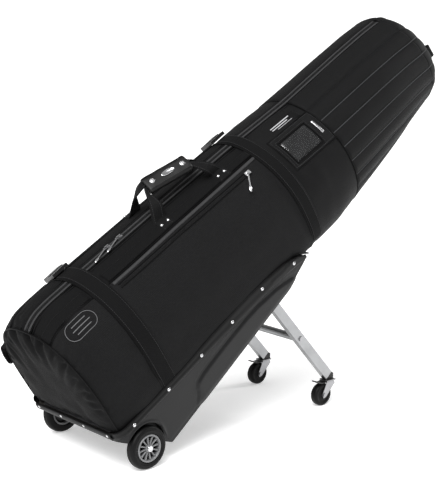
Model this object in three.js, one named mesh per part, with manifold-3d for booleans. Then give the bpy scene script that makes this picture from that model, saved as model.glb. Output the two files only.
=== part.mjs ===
// Wheeled golf travel case: soft padded shell on a moulded skid, two main wheels,
// a fold-out pair of legs with swivel casters, zippers, straps and a carry handle.
// Millimetres, +Z up. The case stands on its four wheels, leaning back by TILT.
import * as THREE from 'three';
import { mergeVertices } from 'three/addons/utils/BufferGeometryUtils.js';
import Module from 'manifold-3d';

const wasm = await Module();
wasm.setup();

// ---------------------------------------------------------------- driving dimensions
const TILT = THREE.MathUtils.degToRad(31.5);   // slope of the case's long axis
const ORIGIN_X = -425.9;                       // moves the middle of the footprint box to x = 0
const GAP = 0.3;                               // clearance between touching pieces
const SIDES = { near: -1, far: 1 };            // near side is -Y

const WHEEL = { face: 174.8, spokes: 12, hub: 9, bore: 4.4 };
const AXLE = { u: 26.1, w: 42.6, r: 4 };       // main wheel axle in the case's own frame

// Case frame: u runs along the case, y across it, w is depth away from the skid.
// Each station: u, half width a, widest level wc, top, bottom, roundness above and below wc.
const STATIONS = [
  [-18, 158, 190, 376, 60, 2.3, 4],
  [20, 167, 195, 398, 60, 2.2, 4],
  [62, 170, 198, 402, 60, 2.1, 4],
  [131, 171, 200, 400, 60, 2.1, 4],
  [400, 170, 197, 389, 60, 2.05, 4],
  [600, 168, 192, 379, 60, 2, 4],
  [680, 167, 190, 375, 52, 2, 3.3],
  [760, 166.5, 191, 368, 46, 2, 3],
  [881, 165, 193, 359, 34, 2, 2.2],
  [1100, 150, 204, 354, 54, 2, 2],
  [1200, 141, 209, 350, 68, 2, 2],
  [1264, 133.5, 211, 344.5, 78, 2, 2],
];
const BASE_U = -8;                             // where the shells meet the base end panel
const COLLAR_U = 680;                          // seam between lower shells and barrel shells
const DOME = { u: 1264, length: 66, power: 2.3, drop: 10 };
const FABRIC = 6;                              // padded shell thickness
const ZIP = { y: -11, half: 11, thick: 2.4, sunk: 1.6 };   // main zipper, a little to the near side
const RIM_W = 118;                             // level of the skid's rim

const STRAPS = {
  lower: { u0: 131, u1: 176, lean: 8 },
  upper: { u0: 681, u1: 717, lean: 0 },
};
const STRAP = { lift: 0.7, thick: 2.2, bridge: 3.2 };
const BUCKLE = { y0: 44, y1: 97, width: 46, thick: 11, lift: 4.2 };

const LEG = { pivotU: 514, pivotW: 60, y: 116.2, thick: 16, depth: 25, wall: 2, top: 14 };
const LEG_END = new THREE.Vector2(625.2, 74.6);     // middle of the leg's cut end, x and z
const LEG_BOLT = 172;                          // cross tube's distance from the leg pivot
const CASTER = { x: 602.5, pivotX: 622.5, y: 118.4, r: 28.9, half: 10.5, plateZ: 62.6 };

const COLOURS = {
  fabric: [0x2b2c2e, 0.85, 0], panel: [0x3a3b3d, 0.8, 0], webbing: [0x1f2021, 0.8, 0],
  plastic: [0x37383a, 0.55, 0], board: [0x3b3a38, 0.9, 0], zipper: [0x161617, 0.6, 0],
  silver: [0xc9cacc, 0.25, 1], aluminium: [0xc4c6c8, 0.35, 1], steel: [0x9c9ea0, 0.3, 1],
  rubber: [0x18181a, 0.8, 0], rim: [0x6d6f72, 0.45, 0.2], foam: [0x55565a, 0.95, 0],
};

// ---------------------------------------------------------------- frames and small helpers
const root = new THREE.Group();
const stand = new THREE.Group();               // level frame, x = 0 at the main wheels' axle
stand.position.x = ORIGIN_X;
root.add(stand);
const bag = new THREE.Group();                 // the case's own leaning frame
bag.rotation.y = -TILT;
stand.add(bag);

const vec = (x, y, z) => new THREE.Vector3(x, y, z);
const uwToXz = (u, w) => new THREE.Vector2(
  u * Math.cos(TILT) - w * Math.sin(TILT), u * Math.sin(TILT) + w * Math.cos(TILT));

function bare(geometry) {
  const copy = geometry.index ? geometry.toNonIndexed() : geometry.clone();
  for (const name of Object.keys(copy.attributes)) if (name !== 'position') copy.deleteAttribute(name);
  const merged = mergeVertices(copy, 1e-3);
  const kept = [];
  const index = merged.index.array;
  for (let i = 0; i < index.length; i += 3) {
    const [a, b, c] = [index[i], index[i + 1], index[i + 2]];
    if (a !== b && b !== c && c !== a) kept.push(a, b, c);
  }
  merged.setIndex(kept);
  return merged;
}

function solid(geometry) {
  const g = bare(geometry);
  const mesh = new wasm.Mesh({
    numProp: 3,
    vertProperties: new Float32Array(g.attributes.position.array),
    triVerts: new Uint32Array(g.index.array),
  });
  return new wasm.Manifold(mesh);
}

function shape(manifold) {
  const mesh = manifold.getMesh();
  const g = new THREE.BufferGeometry();
  g.setAttribute('position', new THREE.BufferAttribute(new Float32Array(mesh.vertProperties), 3));
  g.setIndex(new THREE.BufferAttribute(new Uint32Array(mesh.triVerts), 1));
  return g;
}

function piece(name, look, geometry, parent = bag) {
  const [color, roughness, metalness] = COLOURS[look];
  const g = geometry.isBufferGeometry ? bare(geometry) : bare(shape(geometry));
  g.computeVertexNormals();
  const mesh = new THREE.Mesh(g, new THREE.MeshStandardMaterial({ color, roughness, metalness }));
  mesh.name = name;
  parent.add(mesh);
  return mesh;
}

// A box from its lowest to its highest corner.
function box(x0, y0, z0, x1, y1, z1) {
  const g = new THREE.BoxGeometry(Math.abs(x1 - x0), Math.abs(y1 - y0), Math.abs(z1 - z0));
  return g.translate((x0 + x1) / 2, (y0 + y1) / 2, (z0 + z1) / 2);
}

// A rod along y between two y values.
function rodY(x, z, r, y0, y1, sides = 16) {
  const g = new THREE.CylinderGeometry(r, r, Math.abs(y1 - y0), sides);
  return g.translate(0, (y0 + y1) / 2, 0).translate(x, 0, z);
}

function rodZ(x, y, r, z0, z1, sides = 16) {
  const g = new THREE.CylinderGeometry(r, r, Math.abs(z1 - z0), sides);
  return g.rotateX(Math.PI / 2).translate(x, y, (z0 + z1) / 2);
}

// A flat outline in the x-z plane, given thickness along y from y0 to y1.
function plateXz(points, y0, y1) {
  const outline = new THREE.Shape(points.map(([x, z]) => new THREE.Vector2(x, z)));
  const g = new THREE.ExtrudeGeometry(outline, { depth: Math.abs(y1 - y0), bevelEnabled: false });
  return g.rotateX(Math.PI / 2).translate(0, Math.max(y0, y1), 0);
}

// A closed body between two matching grids of points.
function slab(outer, inner) {
  const rows = outer.length;
  const cols = outer[0].length;
  const flat = [...outer.flat(), ...inner.flat()];
  const at = (side, i, j) => side * rows * cols + i * cols + j;
  const index = [];
  const quad = (a, b, c, d) => index.push(a, b, c, a, c, d);
  for (let i = 0; i < rows - 1; i++) {
    for (let j = 0; j < cols - 1; j++) {
      quad(at(0, i, j), at(0, i + 1, j), at(0, i + 1, j + 1), at(0, i, j + 1));
      quad(at(1, i, j), at(1, i, j + 1), at(1, i + 1, j + 1), at(1, i + 1, j));
    }
    quad(at(0, i, 0), at(1, i, 0), at(1, i + 1, 0), at(0, i + 1, 0));
    quad(at(0, i, cols - 1), at(0, i + 1, cols - 1), at(1, i + 1, cols - 1), at(1, i, cols - 1));
  }
  for (let j = 0; j < cols - 1; j++) {
    quad(at(0, 0, j), at(0, 0, j + 1), at(1, 0, j + 1), at(1, 0, j));
    quad(at(0, rows - 1, j), at(1, rows - 1, j), at(1, rows - 1, j + 1), at(0, rows - 1, j + 1));
  }
  return outward(flat, index);
}

// Builds a geometry and turns all its faces if its volume comes out negative.
function outward(points, index) {
  let volume = 0;
  for (let i = 0; i < index.length; i += 3) {
    const [a, b, c] = [points[index[i]], points[index[i + 1]], points[index[i + 2]]];
    volume += a.dot(vec(0, 0, 0).crossVectors(b, c));
  }
  const order = volume < 0 ? index.slice().reverse() : index;
  const g = new THREE.BufferGeometry();
  g.setAttribute('position', new THREE.Float32BufferAttribute(points.flatMap((p) => p.toArray()), 3));
  g.setIndex(order);
  return g;
}

// A flat strap through a list of centre points, with a half-width vector at each.
function ribbon(points, halves, thick) {
  const outer = [];
  const inner = [];
  points.forEach((p, i) => {
    const before = points[Math.max(0, i - 1)];
    const after = points[Math.min(points.length - 1, i + 1)];
    const normal = vec(0, 0, 0).crossVectors(after.clone().sub(before), halves[i]).normalize();
    const row = (k) => [-1, 1].map((s) => p.clone().addScaledVector(halves[i], s)
      .addScaledVector(normal, k * thick / 2));
    outer.push(row(1));
    inner.push(row(-1));
  });
  return slab(outer, inner);
}

// ---------------------------------------------------------------- the case's cross-section
function station(u) {
  const last = STATIONS.length - 1;
  const uu = Math.min(Math.max(u, STATIONS[0][0]), STATIONS[last][0]);
  let i = 0;
  while (i < last - 1 && STATIONS[i + 1][0] < uu) i++;
  const t = (uu - STATIONS[i][0]) / (STATIONS[i + 1][0] - STATIONS[i][0]);
  const [a, wc, top, bottom, nTop, nLow] = STATIONS[i].slice(1)
    .map((v, k) => v + (STATIONS[i + 1][k + 1] - v) * t);
  return { a, wc, up: top - wc, down: wc - bottom, nTop, nLow };
}

// Point on the outside at angle phi from the top centre; negative phi is the near side.
function skin(u, phi, offset = 0, scale = 1, drop = 0) {
  const s = station(u);
  const at = (angle) => {
    const top = Math.abs(angle) <= Math.PI / 2;
    const n = top ? s.nTop : s.nLow;
    const y = Math.sign(angle) * s.a * Math.abs(Math.sin(angle)) ** (2 / n);
    const w = (top ? s.up : -s.down) * Math.abs(Math.cos(angle)) ** (2 / n);
    return [y * scale, s.wc - drop + w * scale];
  };
  const [y, w] = at(phi);
  if (!offset) return vec(u, y, w);
  const step = 0.02;
  const [y0, w0] = at(phi - step);
  const [y1, w1] = at(phi + step);
  const length = Math.hypot(y1 - y0, w1 - w0);
  return vec(u, y - offset * (w1 - w0) / length, w + offset * (y1 - y0) / length);
}

// Angle at which the section reaches a given y above its widest level.
function phiAtY(u, y) {
  const s = station(u);
  return Math.sign(y) * Math.asin(Math.min(1, (Math.abs(y) / s.a) ** (s.nTop / 2)));
}

// Angle, on the near or far side, at which the section comes down to level w.
function phiAtLevel(u, w) {
  const s = station(u);
  return w >= s.wc
    ? Math.acos(((w - s.wc) / s.up) ** (s.nTop / 2))
    : Math.PI - Math.acos(((s.wc - w) / s.down) ** (s.nLow / 2));
}

const blend = (a, b, t) => a + (b - a) * t;
const steps = (n) => Array.from({ length: n + 1 }, (_, i) => i / n);

// Lower edge of the lower shells: the skid's rim, then round the case towards the collar.
function hemLevel(u) {
  const past = Math.max(0, (u - 600) / (COLLAR_U - 600));
  return blend(RIM_W + 1, 76, past);
}

// ---------------------------------------------------------------- soft shells
function shellSide(name, side, u0, u1, cuts, lowPhi, look) {
  const us = [u0, ...cuts, u1];
  const zipEdge = ZIP.y + side * (ZIP.half + GAP);
  const grid = (offset) => us.map((u) => {
    const from = phiAtY(u, zipEdge);
    return steps(12).map((t) => skin(u, blend(from, side * lowPhi(u), t), offset));
  });
  piece(name, look, slab(grid(0), grid(-FABRIC)));
}

for (const [where, side] of Object.entries(SIDES)) {
  shellSide(`lower_shell_${where}`, side, BASE_U + GAP, COLLAR_U - GAP,
    [20, 62, 131, 176, 280, 400, 500, 600, 640], (u) => phiAtLevel(u, hemLevel(u)), 'panel');
  shellSide(`barrel_shell_${where}`, side, COLLAR_U, DOME.u - GAP,
    [760, 820, 881, 980, 1100, 1200], () => Math.PI - 0.002, 'fabric');
}

// The round end of the barrel, a deep cup.
function dome() {
  const rows = [0, 0.3, 0.55, 0.74, 0.88, 0.96];
  const count = 24;
  const ring = (f, thick) => {
    const length = DOME.length - thick;
    const scale = (1 - f ** DOME.power) ** (1 / DOME.power);
    return steps(count).slice(0, count).map((t) => {
      const p = skin(DOME.u, -Math.PI + t * 2 * Math.PI + 1e-4, -thick, scale, DOME.drop * f * f);
      p.x = DOME.u + length * f;
      return p;
    });
  };
  const outer = rows.map((f) => ring(f, 0));
  const inner = rows.map((f) => ring(f, FABRIC));
  const points = [...outer.flat(), ...inner.flat()];
  const tip = (thick) => vec(DOME.u + DOME.length - thick, 0, station(DOME.u).wc - DOME.drop);
  points.push(tip(0), tip(FABRIC));
  const index = [];
  const at = (side, i, j) => (side * rows.length + i) * count + (j % count);
  const last = rows.length - 1;
  const tipAt = 2 * rows.length * count;
  for (let j = 0; j < count; j++) {
    for (let i = 0; i < last; i++) {
      index.push(at(0, i, j), at(0, i + 1, j), at(0, i + 1, j + 1));
      index.push(at(0, i, j), at(0, i + 1, j + 1), at(0, i, j + 1));
      index.push(at(1, i, j), at(1, i + 1, j + 1), at(1, i + 1, j));
      index.push(at(1, i, j), at(1, i, j + 1), at(1, i + 1, j + 1));
    }
    index.push(at(0, last, j), tipAt, at(0, last, j + 1));
    index.push(at(1, last, j), at(1, last, j + 1), tipAt + 1);
    index.push(at(0, 0, j), at(0, 0, j + 1), at(1, 0, j + 1));
    index.push(at(0, 0, j), at(1, 0, j + 1), at(1, 0, j));
  }
  return outward(points, index);
}
piece('barrel_dome_end', 'fabric', dome());

// Base end panel: a puffed pad that closes the wide end, standing on the skid's rim.
function basePanel() {
  const rings = [[-16, 0.3], [-19.5, 0.62], [-18.5, 0.86], [-14, 0.97], [BASE_U, 1]];
  const count = 24;
  const centre = 250;
  const edge = (u, k) => steps(count).map((t) => {
    const low = phiAtLevel(0, RIM_W + 1);
    const p = skin(0, blend(-low, low, t));
    return vec(u, p.y * k, centre + (p.z - centre) * k);
  });
  const face = rings.map(([u, k]) => edge(u, k));
  const points = [...face.flat(), vec(-15, 0, centre), vec(BASE_U, 0, centre)];
  const cols = count + 1;
  const mid = face.length * cols;
  const index = [];
  for (let j = 0; j < cols; j++) {
    const k = (j + 1) % cols;
    for (let i = 0; i < face.length - 1; i++) {
      index.push(i * cols + j, (i + 1) * cols + k, (i + 1) * cols + j);
      index.push(i * cols + j, i * cols + k, (i + 1) * cols + k);
    }
    index.push(mid, k, j);
    index.push(mid + 1, (face.length - 1) * cols + j, (face.length - 1) * cols + k);
  }
  return outward(points, index);
}
piece('base_end_panel', 'fabric', basePanel());

// ---------------------------------------------------------------- zippers
// A strip that fills the gap along the top, following the case's profile.
function topStrip(u0, u1, half, low, high) {
  const us = [u0, ...STATIONS.map((s) => s[0]).filter((u) => u > u0 && u < u1), u1];
  const rows = (offset) => us.map((u) => steps(3)
    .map((t) => skin(u, phiAtY(u, ZIP.y + blend(-half, half, t)), offset)));
  return slab(rows(high), rows(low));
}
piece('main_zipper', 'zipper', topStrip(BASE_U + GAP, DOME.u - GAP, ZIP.half, -ZIP.sunk, ZIP.thick - ZIP.sunk));

// A slider, made at the origin: x along the zipper, z away from the case. The main sliders
// carry a bridge for the pull's ring, the pocket sliders a headed post.
function slider(post) {
  let body = solid(box(-8, -5, 0, 8, 5, 3.6));
  if (post) {
    return body.add(solid(rodZ(0, 0, 1.8, 3, 8, 12))).add(solid(rodZ(0, 0, 3.4, 6.4, 8, 12)));
  }
  body = body.add(solid(box(-6, -1.5, 3, -4, 1.5, 8)));
  body = body.add(solid(box(4, -1.5, 3, 6, 1.5, 8)));
  return body.add(solid(box(-6, -1.5, 6.6, 6, 1.5, 8)));
}

// A pull lying along -x from its eye at the origin: a wire ring for a bridge, a round one for a post.
function pull(length, post) {
  const thin = 0.8;
  const ring = post
    ? solid(rodZ(0, 0, 4.4, -thin, thin)).subtract(solid(rodZ(0, 0, 2.3, -2, 2)))
    : solid(box(-7.8, -4.4, -thin, thin, 4.4, thin)).subtract(solid(box(-5.8, -3.1, -2, -thin, 3.1, 2)));
  const stem = solid(box(-length + 14, -1.7, -thin, post ? -3.6 : -7.2, 1.7, thin));
  const bead = new THREE.SphereGeometry(1, 8, 6).scale(9, 3.6, 1.8).translate(-length + 9, 0, 0);
  return ring.add(stem).add(solid(bead));
}

// Puts a slider and its pull on a zipper. The slider runs straight from one end to the other.
function zipperPull(name, zip, u, hang) {
  const start = skin(zip.u0, zip.phi(zip.u0), zip.lift);
  const along = skin(zip.u1, zip.phi(zip.u1), zip.lift).sub(start).normalize();
  const here = start.addScaledVector(along, (u - zip.u0) / along.x);
  const out = skin(u, zip.phi(u), 11).sub(skin(u, zip.phi(u), 1)).normalize();
  const across = vec(0, 0, 0).crossVectors(out, along).normalize();
  const up = vec(0, 0, 0).crossVectors(along, across);
  const body = piece(`${name}_slider`, 'silver', slider(zip.post));
  body.applyMatrix4(new THREE.Matrix4().makeBasis(along, across, up).setPosition(here));
  const back = hang.clone().negate();
  back.addScaledVector(up, -back.dot(up)).normalize();
  const sideways = vec(0, 0, 0).crossVectors(up, back);
  const eye = here.clone().addScaledVector(up, 5).addScaledVector(along, zip.post ? 0 : -EYE_BACK);
  const tab = piece(`${name}_pull`, 'silver', pull(PULL_LENGTH, zip.post));
  tab.applyMatrix4(new THREE.Matrix4().makeBasis(back, sideways, up).setPosition(eye));
}
const PULL_LENGTH = 54;
const EYE_BACK = 1.8;
const MAIN_ZIP = { u0: 190, u1: 664, phi: (u) => phiAtY(u, ZIP.y), lift: 2.4, post: false };
const lying = vec(-1, -0.35, 0);               // the main pulls lie down the slope, a little to the near side
zipperPull('main_upper', MAIN_ZIP, 300, lying);
zipperPull('main_lower', MAIN_ZIP, 261, lying);

// Side pocket zippers on both flanks, each with a slider whose pull hangs straight down.
const POCKET = { u0: 194, u1: 640, level: 355, fall: -0.036, half: 8, slider: 628 };
const gravity = vec(-Math.sin(TILT), 0, -Math.cos(TILT));
for (const [where, side] of Object.entries(SIDES)) {
  const level = (u) => POCKET.level + (u - POCKET.u0) * POCKET.fall;
  const phi = (u) => side * phiAtLevel(u, level(u));
  const us = [POCKET.u0, 280, 400, 500, 600, POCKET.u1];
  const across = POCKET.half / 195;
  const rows = (offset) => us.map((u) => steps(2)
    .map((t) => skin(u, phi(u) + blend(-across, across, t), offset)));
  piece(`pocket_zipper_${where}`, 'zipper', slab(rows(1.6), rows(0.5)));
  zipperPull(`pocket_${where}`, { ...POCKET, phi, lift: 3.6, post: true }, POCKET.slider, gravity);
}

// ---------------------------------------------------------------- compression straps
function strapBand(strap, phi0, phi1, count) {
  const us = [strap.u0, (strap.u0 + strap.u1) / 2, strap.u1];
  const rows = (extra) => us.map((u) => steps(count).map((t) => {
    const phi = blend(phi0, phi1, t);
    const near = Math.max(0, Math.cos(phi * 1.15));
    const zipRise = STRAP.bridge * Math.max(0, 1 - Math.abs(phi + 0.05) / 0.34);
    return skin(u + strap.lean * near ** 2, phi, STRAP.lift + zipRise + extra);
  }));
  return slab(rows(STRAP.thick), rows(0));
}

for (const [name, strap] of Object.entries(STRAPS)) {
  const mid = (strap.u0 + strap.u1) / 2;
  const low = name === 'lower' ? phiAtLevel(mid, RIM_W + 5) : phiAtLevel(mid, 100);
  piece(`${name}_strap_near`, 'webbing', strapBand(strap, -low, phiAtY(mid, BUCKLE.y0 - 1), 18));
  piece(`${name}_strap_far`, 'webbing', strapBand(strap, phiAtY(mid, BUCKLE.y1 + 1), low, 10));

  // Buckle halves, laid on the far shoulder: x along the strap, z outwards.
  const buckle = new THREE.Group();
  const start = skin(mid, phiAtY(mid, BUCKLE.y0), STRAP.lift + BUCKLE.lift);
  const end = skin(mid, phiAtY(mid, BUCKLE.y1), STRAP.lift + BUCKLE.lift);
  const along = end.clone().sub(start).normalize();
  const out = vec(0, 0, 0).crossVectors(along, vec(-1, 0, 0)).normalize();
  const across = vec(0, 0, 0).crossVectors(out, along);
  buckle.applyMatrix4(new THREE.Matrix4().makeBasis(along, across, out).setPosition(start));
  buckle.position.x += strap.lean;
  bag.add(buckle);
  const length = start.distanceTo(end);
  const half = BUCKLE.width / 2;
  const socket = solid(box(length * 0.45, -half, 0, length, half, BUCKLE.thick))
    .subtract(solid(box(length * 0.45 - 1, -half + 4, 3, length - 9, half - 4, 8)));
  const tongue = solid(box(0, -half, 1.5, length * 0.45 - GAP, half, 9.5))
    .add(solid(box(length * 0.4, -half + 5, 3.4, length - 12, half - 5, 7.6)));
  piece(`${name}_buckle_socket`, 'plastic', socket, buckle);
  piece(`${name}_buckle_tongue`, 'plastic', tongue, buckle);
}

// ---------------------------------------------------------------- carry handle
const HANDLE = { u0: 390, u1: 586, half: 19, thick: 2.6, anchor: 60, lift: 4 };
const GRIP = { from: vec(424, -10, 446), to: vec(541, -28, 430), width: 46, height: 19, wall: 3.4 };
const gripX = GRIP.to.clone().sub(GRIP.from).normalize();
const gripY = vec(0, -0.85, -0.53);
gripY.addScaledVector(gripX, -gripY.dot(gripX)).normalize();
const gripZ = vec(0, 0, 0).crossVectors(gripX, gripY).normalize();
const FOLDED = { offset: 9.6, half: 8.4 };     // the webbing is folded narrow inside the grip

// One webbing loop: sewn flat at both feet, rising and turning to run through the grip.
function handleLoop(name, side) {
  const y0 = ZIP.y + side * HANDLE.anchor;
  const foot = (u, y) => skin(u, phiAtY(u, y), HANDLE.lift);
  const inGrip = (p, along) => p.clone().addScaledVector(gripX, along)
    .addScaledVector(gripY, -side * FOLDED.offset);
  const rise = (u, end, inward) => {
    const entry = inGrip(end, inward * -5);
    const base = foot(u, y0 - side * 16);
    const middle = base.clone().lerp(entry, 0.5).add(vec(0, side * 12, 4));
    return [foot(u, y0 + side * 12), foot(u, y0 - side * 4), base, middle, entry, inGrip(end, inward * 12)];
  };
  const points = [...rise(HANDLE.u0, GRIP.from, 1), ...rise(HANDLE.u1, GRIP.to, -1).reverse()];
  const halves = points.map((_, i) => {
    const k = Math.min(i, points.length - 1 - i);
    const way = i < points.length / 2 ? -1 : 1;
    const turn = [0, 0, 0, 0.4, 0.92, 1][k];
    const flat = vec(way * side, 0, 0);
    return flat.lerp(gripY, turn).setLength(blend(HANDLE.half, FOLDED.half, turn));
  });
  piece(name, 'webbing', ribbon(points, halves, HANDLE.thick));
}
handleLoop('carry_loop_near', -1);
handleLoop('carry_loop_far', 1);

const wrap = new THREE.Group();
wrap.applyMatrix4(new THREE.Matrix4().makeBasis(gripX, gripY, gripZ).setPosition(GRIP.from));
bag.add(wrap);
const gripLength = GRIP.from.distanceTo(GRIP.to);
const gripHalf = GRIP.width / 2;
const sleeve = solid(box(0, -gripHalf, -GRIP.height / 2, gripLength, gripHalf, GRIP.height / 2))
  .subtract(solid(box(-1, -gripHalf + GRIP.wall, -GRIP.height / 2 + GRIP.wall,
    gripLength + 1, gripHalf - GRIP.wall, GRIP.height / 2 - GRIP.wall)));
piece('carry_grip', 'plastic', sleeve, wrap);

// ---------------------------------------------------------------- card pocket and end loops
function patch(u0, u1, ya, yb, low, high, cols = 6) {
  const grid = (offset) => [u0, (u0 + u1) / 2, u1].map((u) => steps(cols)
    .map((t) => skin(u, blend(phiAtY(u, ya), phiAtY(u, yb), t), offset)));
  return slab(grid(high), grid(low));
}
const frame = solid(patch(735, 872, -88, -146, 0.8, 3.2));
const hole = solid(patch(748, 844, -98, -141, -6, 9));
piece('card_frame', 'webbing', frame.subtract(hole));

function endLoop(name, foot0, foot1, reach, half) {
  const middle = foot0.clone().add(foot1).multiplyScalar(0.5).add(reach);
  const curve = new THREE.CatmullRomCurve3([foot0, foot0.clone().addScaledVector(reach, 0.7), middle,
    foot1.clone().addScaledVector(reach, 0.7), foot1]);
  const points = curve.getPoints(14);
  piece(name, 'webbing', ribbon(points, points.map(() => half), 2.6));
}
endLoop('base_loop', vec(-6, 148.5, 292), vec(-6, 162.5, 240), vec(-3, 15.5, 2), vec(8, 2.5, 0));
endLoop('barrel_loop', vec(1326, -76, 208), vec(1322.5, -86, 208), vec(19, -2, 0), vec(-3, 0, 17));

// ---------------------------------------------------------------- skid base
const SKID = {
  profile: [[-23, RIM_W], [-23, 104], [60, 28], [91, -11.5], [552, 57], [566, 62], [590, 72.5], [612, 81],
    [632, 89.5], [638, 94], [612, 108], [588, RIM_W]],
  half: 170.5, draft: THREE.MathUtils.degToRad(8), wall: 4, heart: [300, 95], reach: [320, 62],
};
const RECESS = { u0: 62, u1: 566, half: 137 };
const WELL = { r: 57, y: 144 };
const CORNER = { u: 7.5, y: 140, r: 30.5 };

// The skid's outer body: a side profile with drafted sides, drawn in by an even inset.
function skidBody(inset) {
  const half = SKID.half - inset;
  const [hu, hw] = SKID.heart;
  const grow = (u, w) => [blend(u, hu, inset / SKID.reach[0]), blend(w, hw, inset / SKID.reach[1])];
  let body = solid(plateXz(SKID.profile.map(([u, w]) => grow(u, w)), -half, half));
  for (const side of [-1, 1]) {
    const cutter = new THREE.BoxGeometry(900, 100, 400).translate(300, 50, 0);
    cutter.rotateX(-SKID.draft).translate(0, half, RIM_W);
    if (side < 0) cutter.scale(1, -1, 1);
    const g = bare(cutter);
    if (side < 0) g.setIndex(Array.from(g.index.array).reverse());
    body = body.subtract(solid(g));
  }
  return body;
}

// What lies outside the rounded corner at the base end, seen from above.
function outsideCorner(side, r) {
  const { u, y, r: full } = CORNER;
  const ys = [side * y, side * 200].sort((a, b) => a - b);
  return solid(box(u - full - 20, ys[0], -60, u, ys[1], 150)).subtract(solid(rodZ(u, side * y, r, -70, 160, 40)));
}

function skid() {
  let hollow = skidBody(SKID.wall)
    .subtract(solid(box(RECESS.u0 - 4, -RECESS.half - 4, -40, RECESS.u1 + 4, RECESS.half + 4, 140)))
    .subtract(solid(rodY(AXLE.u, AXLE.w, WELL.r + 4, -200, -WELL.y + 4, 36)))
    .subtract(solid(rodY(AXLE.u, AXLE.w, WELL.r + 4, WELL.y - 4, 200, 36)));
  let rim = solid(box(-17, -163, 107.7, 589, 163, 140));
  for (const side of [-1, 1]) {
    hollow = hollow.subtract(outsideCorner(side, CORNER.r - SKID.wall));
    rim = rim.subtract(outsideCorner(side, CORNER.r - 4.5));
  }
  let body = skidBody(0).subtract(hollow).subtract(rim)
    .subtract(solid(box(RECESS.u0, -RECESS.half, -40, RECESS.u1, RECESS.half, 140)))
    .subtract(solid(plateXz([[585, 112], [603, 109], [675, 58.5], [700, 150], [585, 150]], -129, 129)));
  for (const side of [-1, 1]) {
    body = body.subtract(outsideCorner(side, CORNER.r));
    body = body.subtract(solid(rodY(AXLE.u, AXLE.w, WELL.r, side * WELL.y, side * 200, 36)));
    const boss = solid(rodY(AXLE.u, AXLE.w, 15, side * 124, side * (WELL.y - 0.6), 28))
      .add(solid(plateXz([[4, 92], [12, 38], [40, 36], [70, 60]], side * 124, side * (WELL.y - 0.6))));
    body = body.add(boss);
    body = body.subtract(solid(rodY(AXLE.u, AXLE.w, AXLE.r + GAP, side * 110, side * 160, 24)));
  }
  return body;
}
piece('skid_base', 'plastic', skid());

piece('deck_board', 'board', solid(box(-16.6, -162.6, 108, 588.6, 162.6, 112.4))
  .subtract(outsideCorner(-1, CORNER.r - 5)).subtract(outsideCorner(1, CORNER.r - 5)));
const floorTop = RIM_W - 0.6;
const pad = [[-15, 112.8], [590, 112.8], [604, 109.5], [676, 59], [676, 65], [606, 115.5], [592, floorTop],
  [-15, floorTop]];
piece('floor_pad', 'foam', plateXz(pad, -128, 128));

// Stub axles: shoulder bolts whose heads hold the main wheels on.
for (const [where, side] of Object.entries(SIDES)) {
  const shank = solid(rodY(AXLE.u, AXLE.w, AXLE.r, side * 118, side * 175.4));
  const head = solid(rodY(AXLE.u, AXLE.w, 6.5, side * 175.2, side * 178.2));
  piece(`axle_bolt_${where}`, 'silver', shank.add(head));
}

// ---------------------------------------------------------------- inside the case
const HEAD_PAD = { u: 1216, w: 206, r: 104, thick: 16 };
const headRing = new THREE.TorusGeometry(HEAD_PAD.r, HEAD_PAD.thick, 10, 24).rotateY(Math.PI / 2);
piece('club_head_pad', 'foam', headRing.translate(HEAD_PAD.u, 0, HEAD_PAD.w));

// ---------------------------------------------------------------- main wheels
const wheelAt = uwToXz(AXLE.u, AXLE.w);
function lathe(profile, segments) {
  return new THREE.LatheGeometry(profile.map(([r, y]) => new THREE.Vector2(r, y)), segments);
}
for (const [where, side] of Object.entries(SIDES)) {
  const wheel = new THREE.Group();
  wheel.position.set(wheelAt.x, 0, wheelAt.y);
  stand.add(wheel);
  const y = (v) => side * v;
  const ring = [[32.4, 151], [43, 149.4], [48.2, 153], [50, 159], [50, 165], [48.2, 171], [43, 175],
    [34, 174.4], [32.4, 173], [32.4, 151]].map(([r, v]) => [r, y(v)]);
  const tyre = lathe(side > 0 ? ring : ring.slice().reverse(), 32);
  piece(`tyre_${where}`, 'rubber', tyre, wheel);
  const rimRing = [[27, 154], [32, 152], [32, 174.2], [30, WHEEL.face], [27.6, WHEEL.face], [27, 154]]
    .map(([r, v]) => [r, y(v)]);
  let rim = solid(lathe(side > 0 ? rimRing : rimRing.slice().reverse(), 32));
  rim = rim.add(solid(rodY(0, 0, WHEEL.hub, y(148), y(173.6), 24)));
  for (let i = 0; i < WHEEL.spokes; i++) {
    const spoke = box(6, y(165), -2.1, 28.4, y(172.6), 2.1);
    spoke.rotateY(i * 2 * Math.PI / WHEEL.spokes);
    rim = rim.add(solid(spoke));
  }
  rim = rim.subtract(solid(rodY(0, 0, WHEEL.bore, y(140), y(180), 24)));
  piece(`wheel_rim_${where}`, 'rim', rim, wheel);
}

// ---------------------------------------------------------------- folding legs
const pivot = uwToXz(LEG.pivotU, LEG.pivotW);
const legVector = LEG_END.clone().sub(pivot);
const legLength = legVector.length();
const legAngle = Math.atan2(legVector.y, legVector.x);
const legs = new THREE.Group();                // x runs down the leg from the pivot
legs.position.set(pivot.x, 0, pivot.y);
legs.rotation.y = -legAngle;
stand.add(legs);

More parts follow.
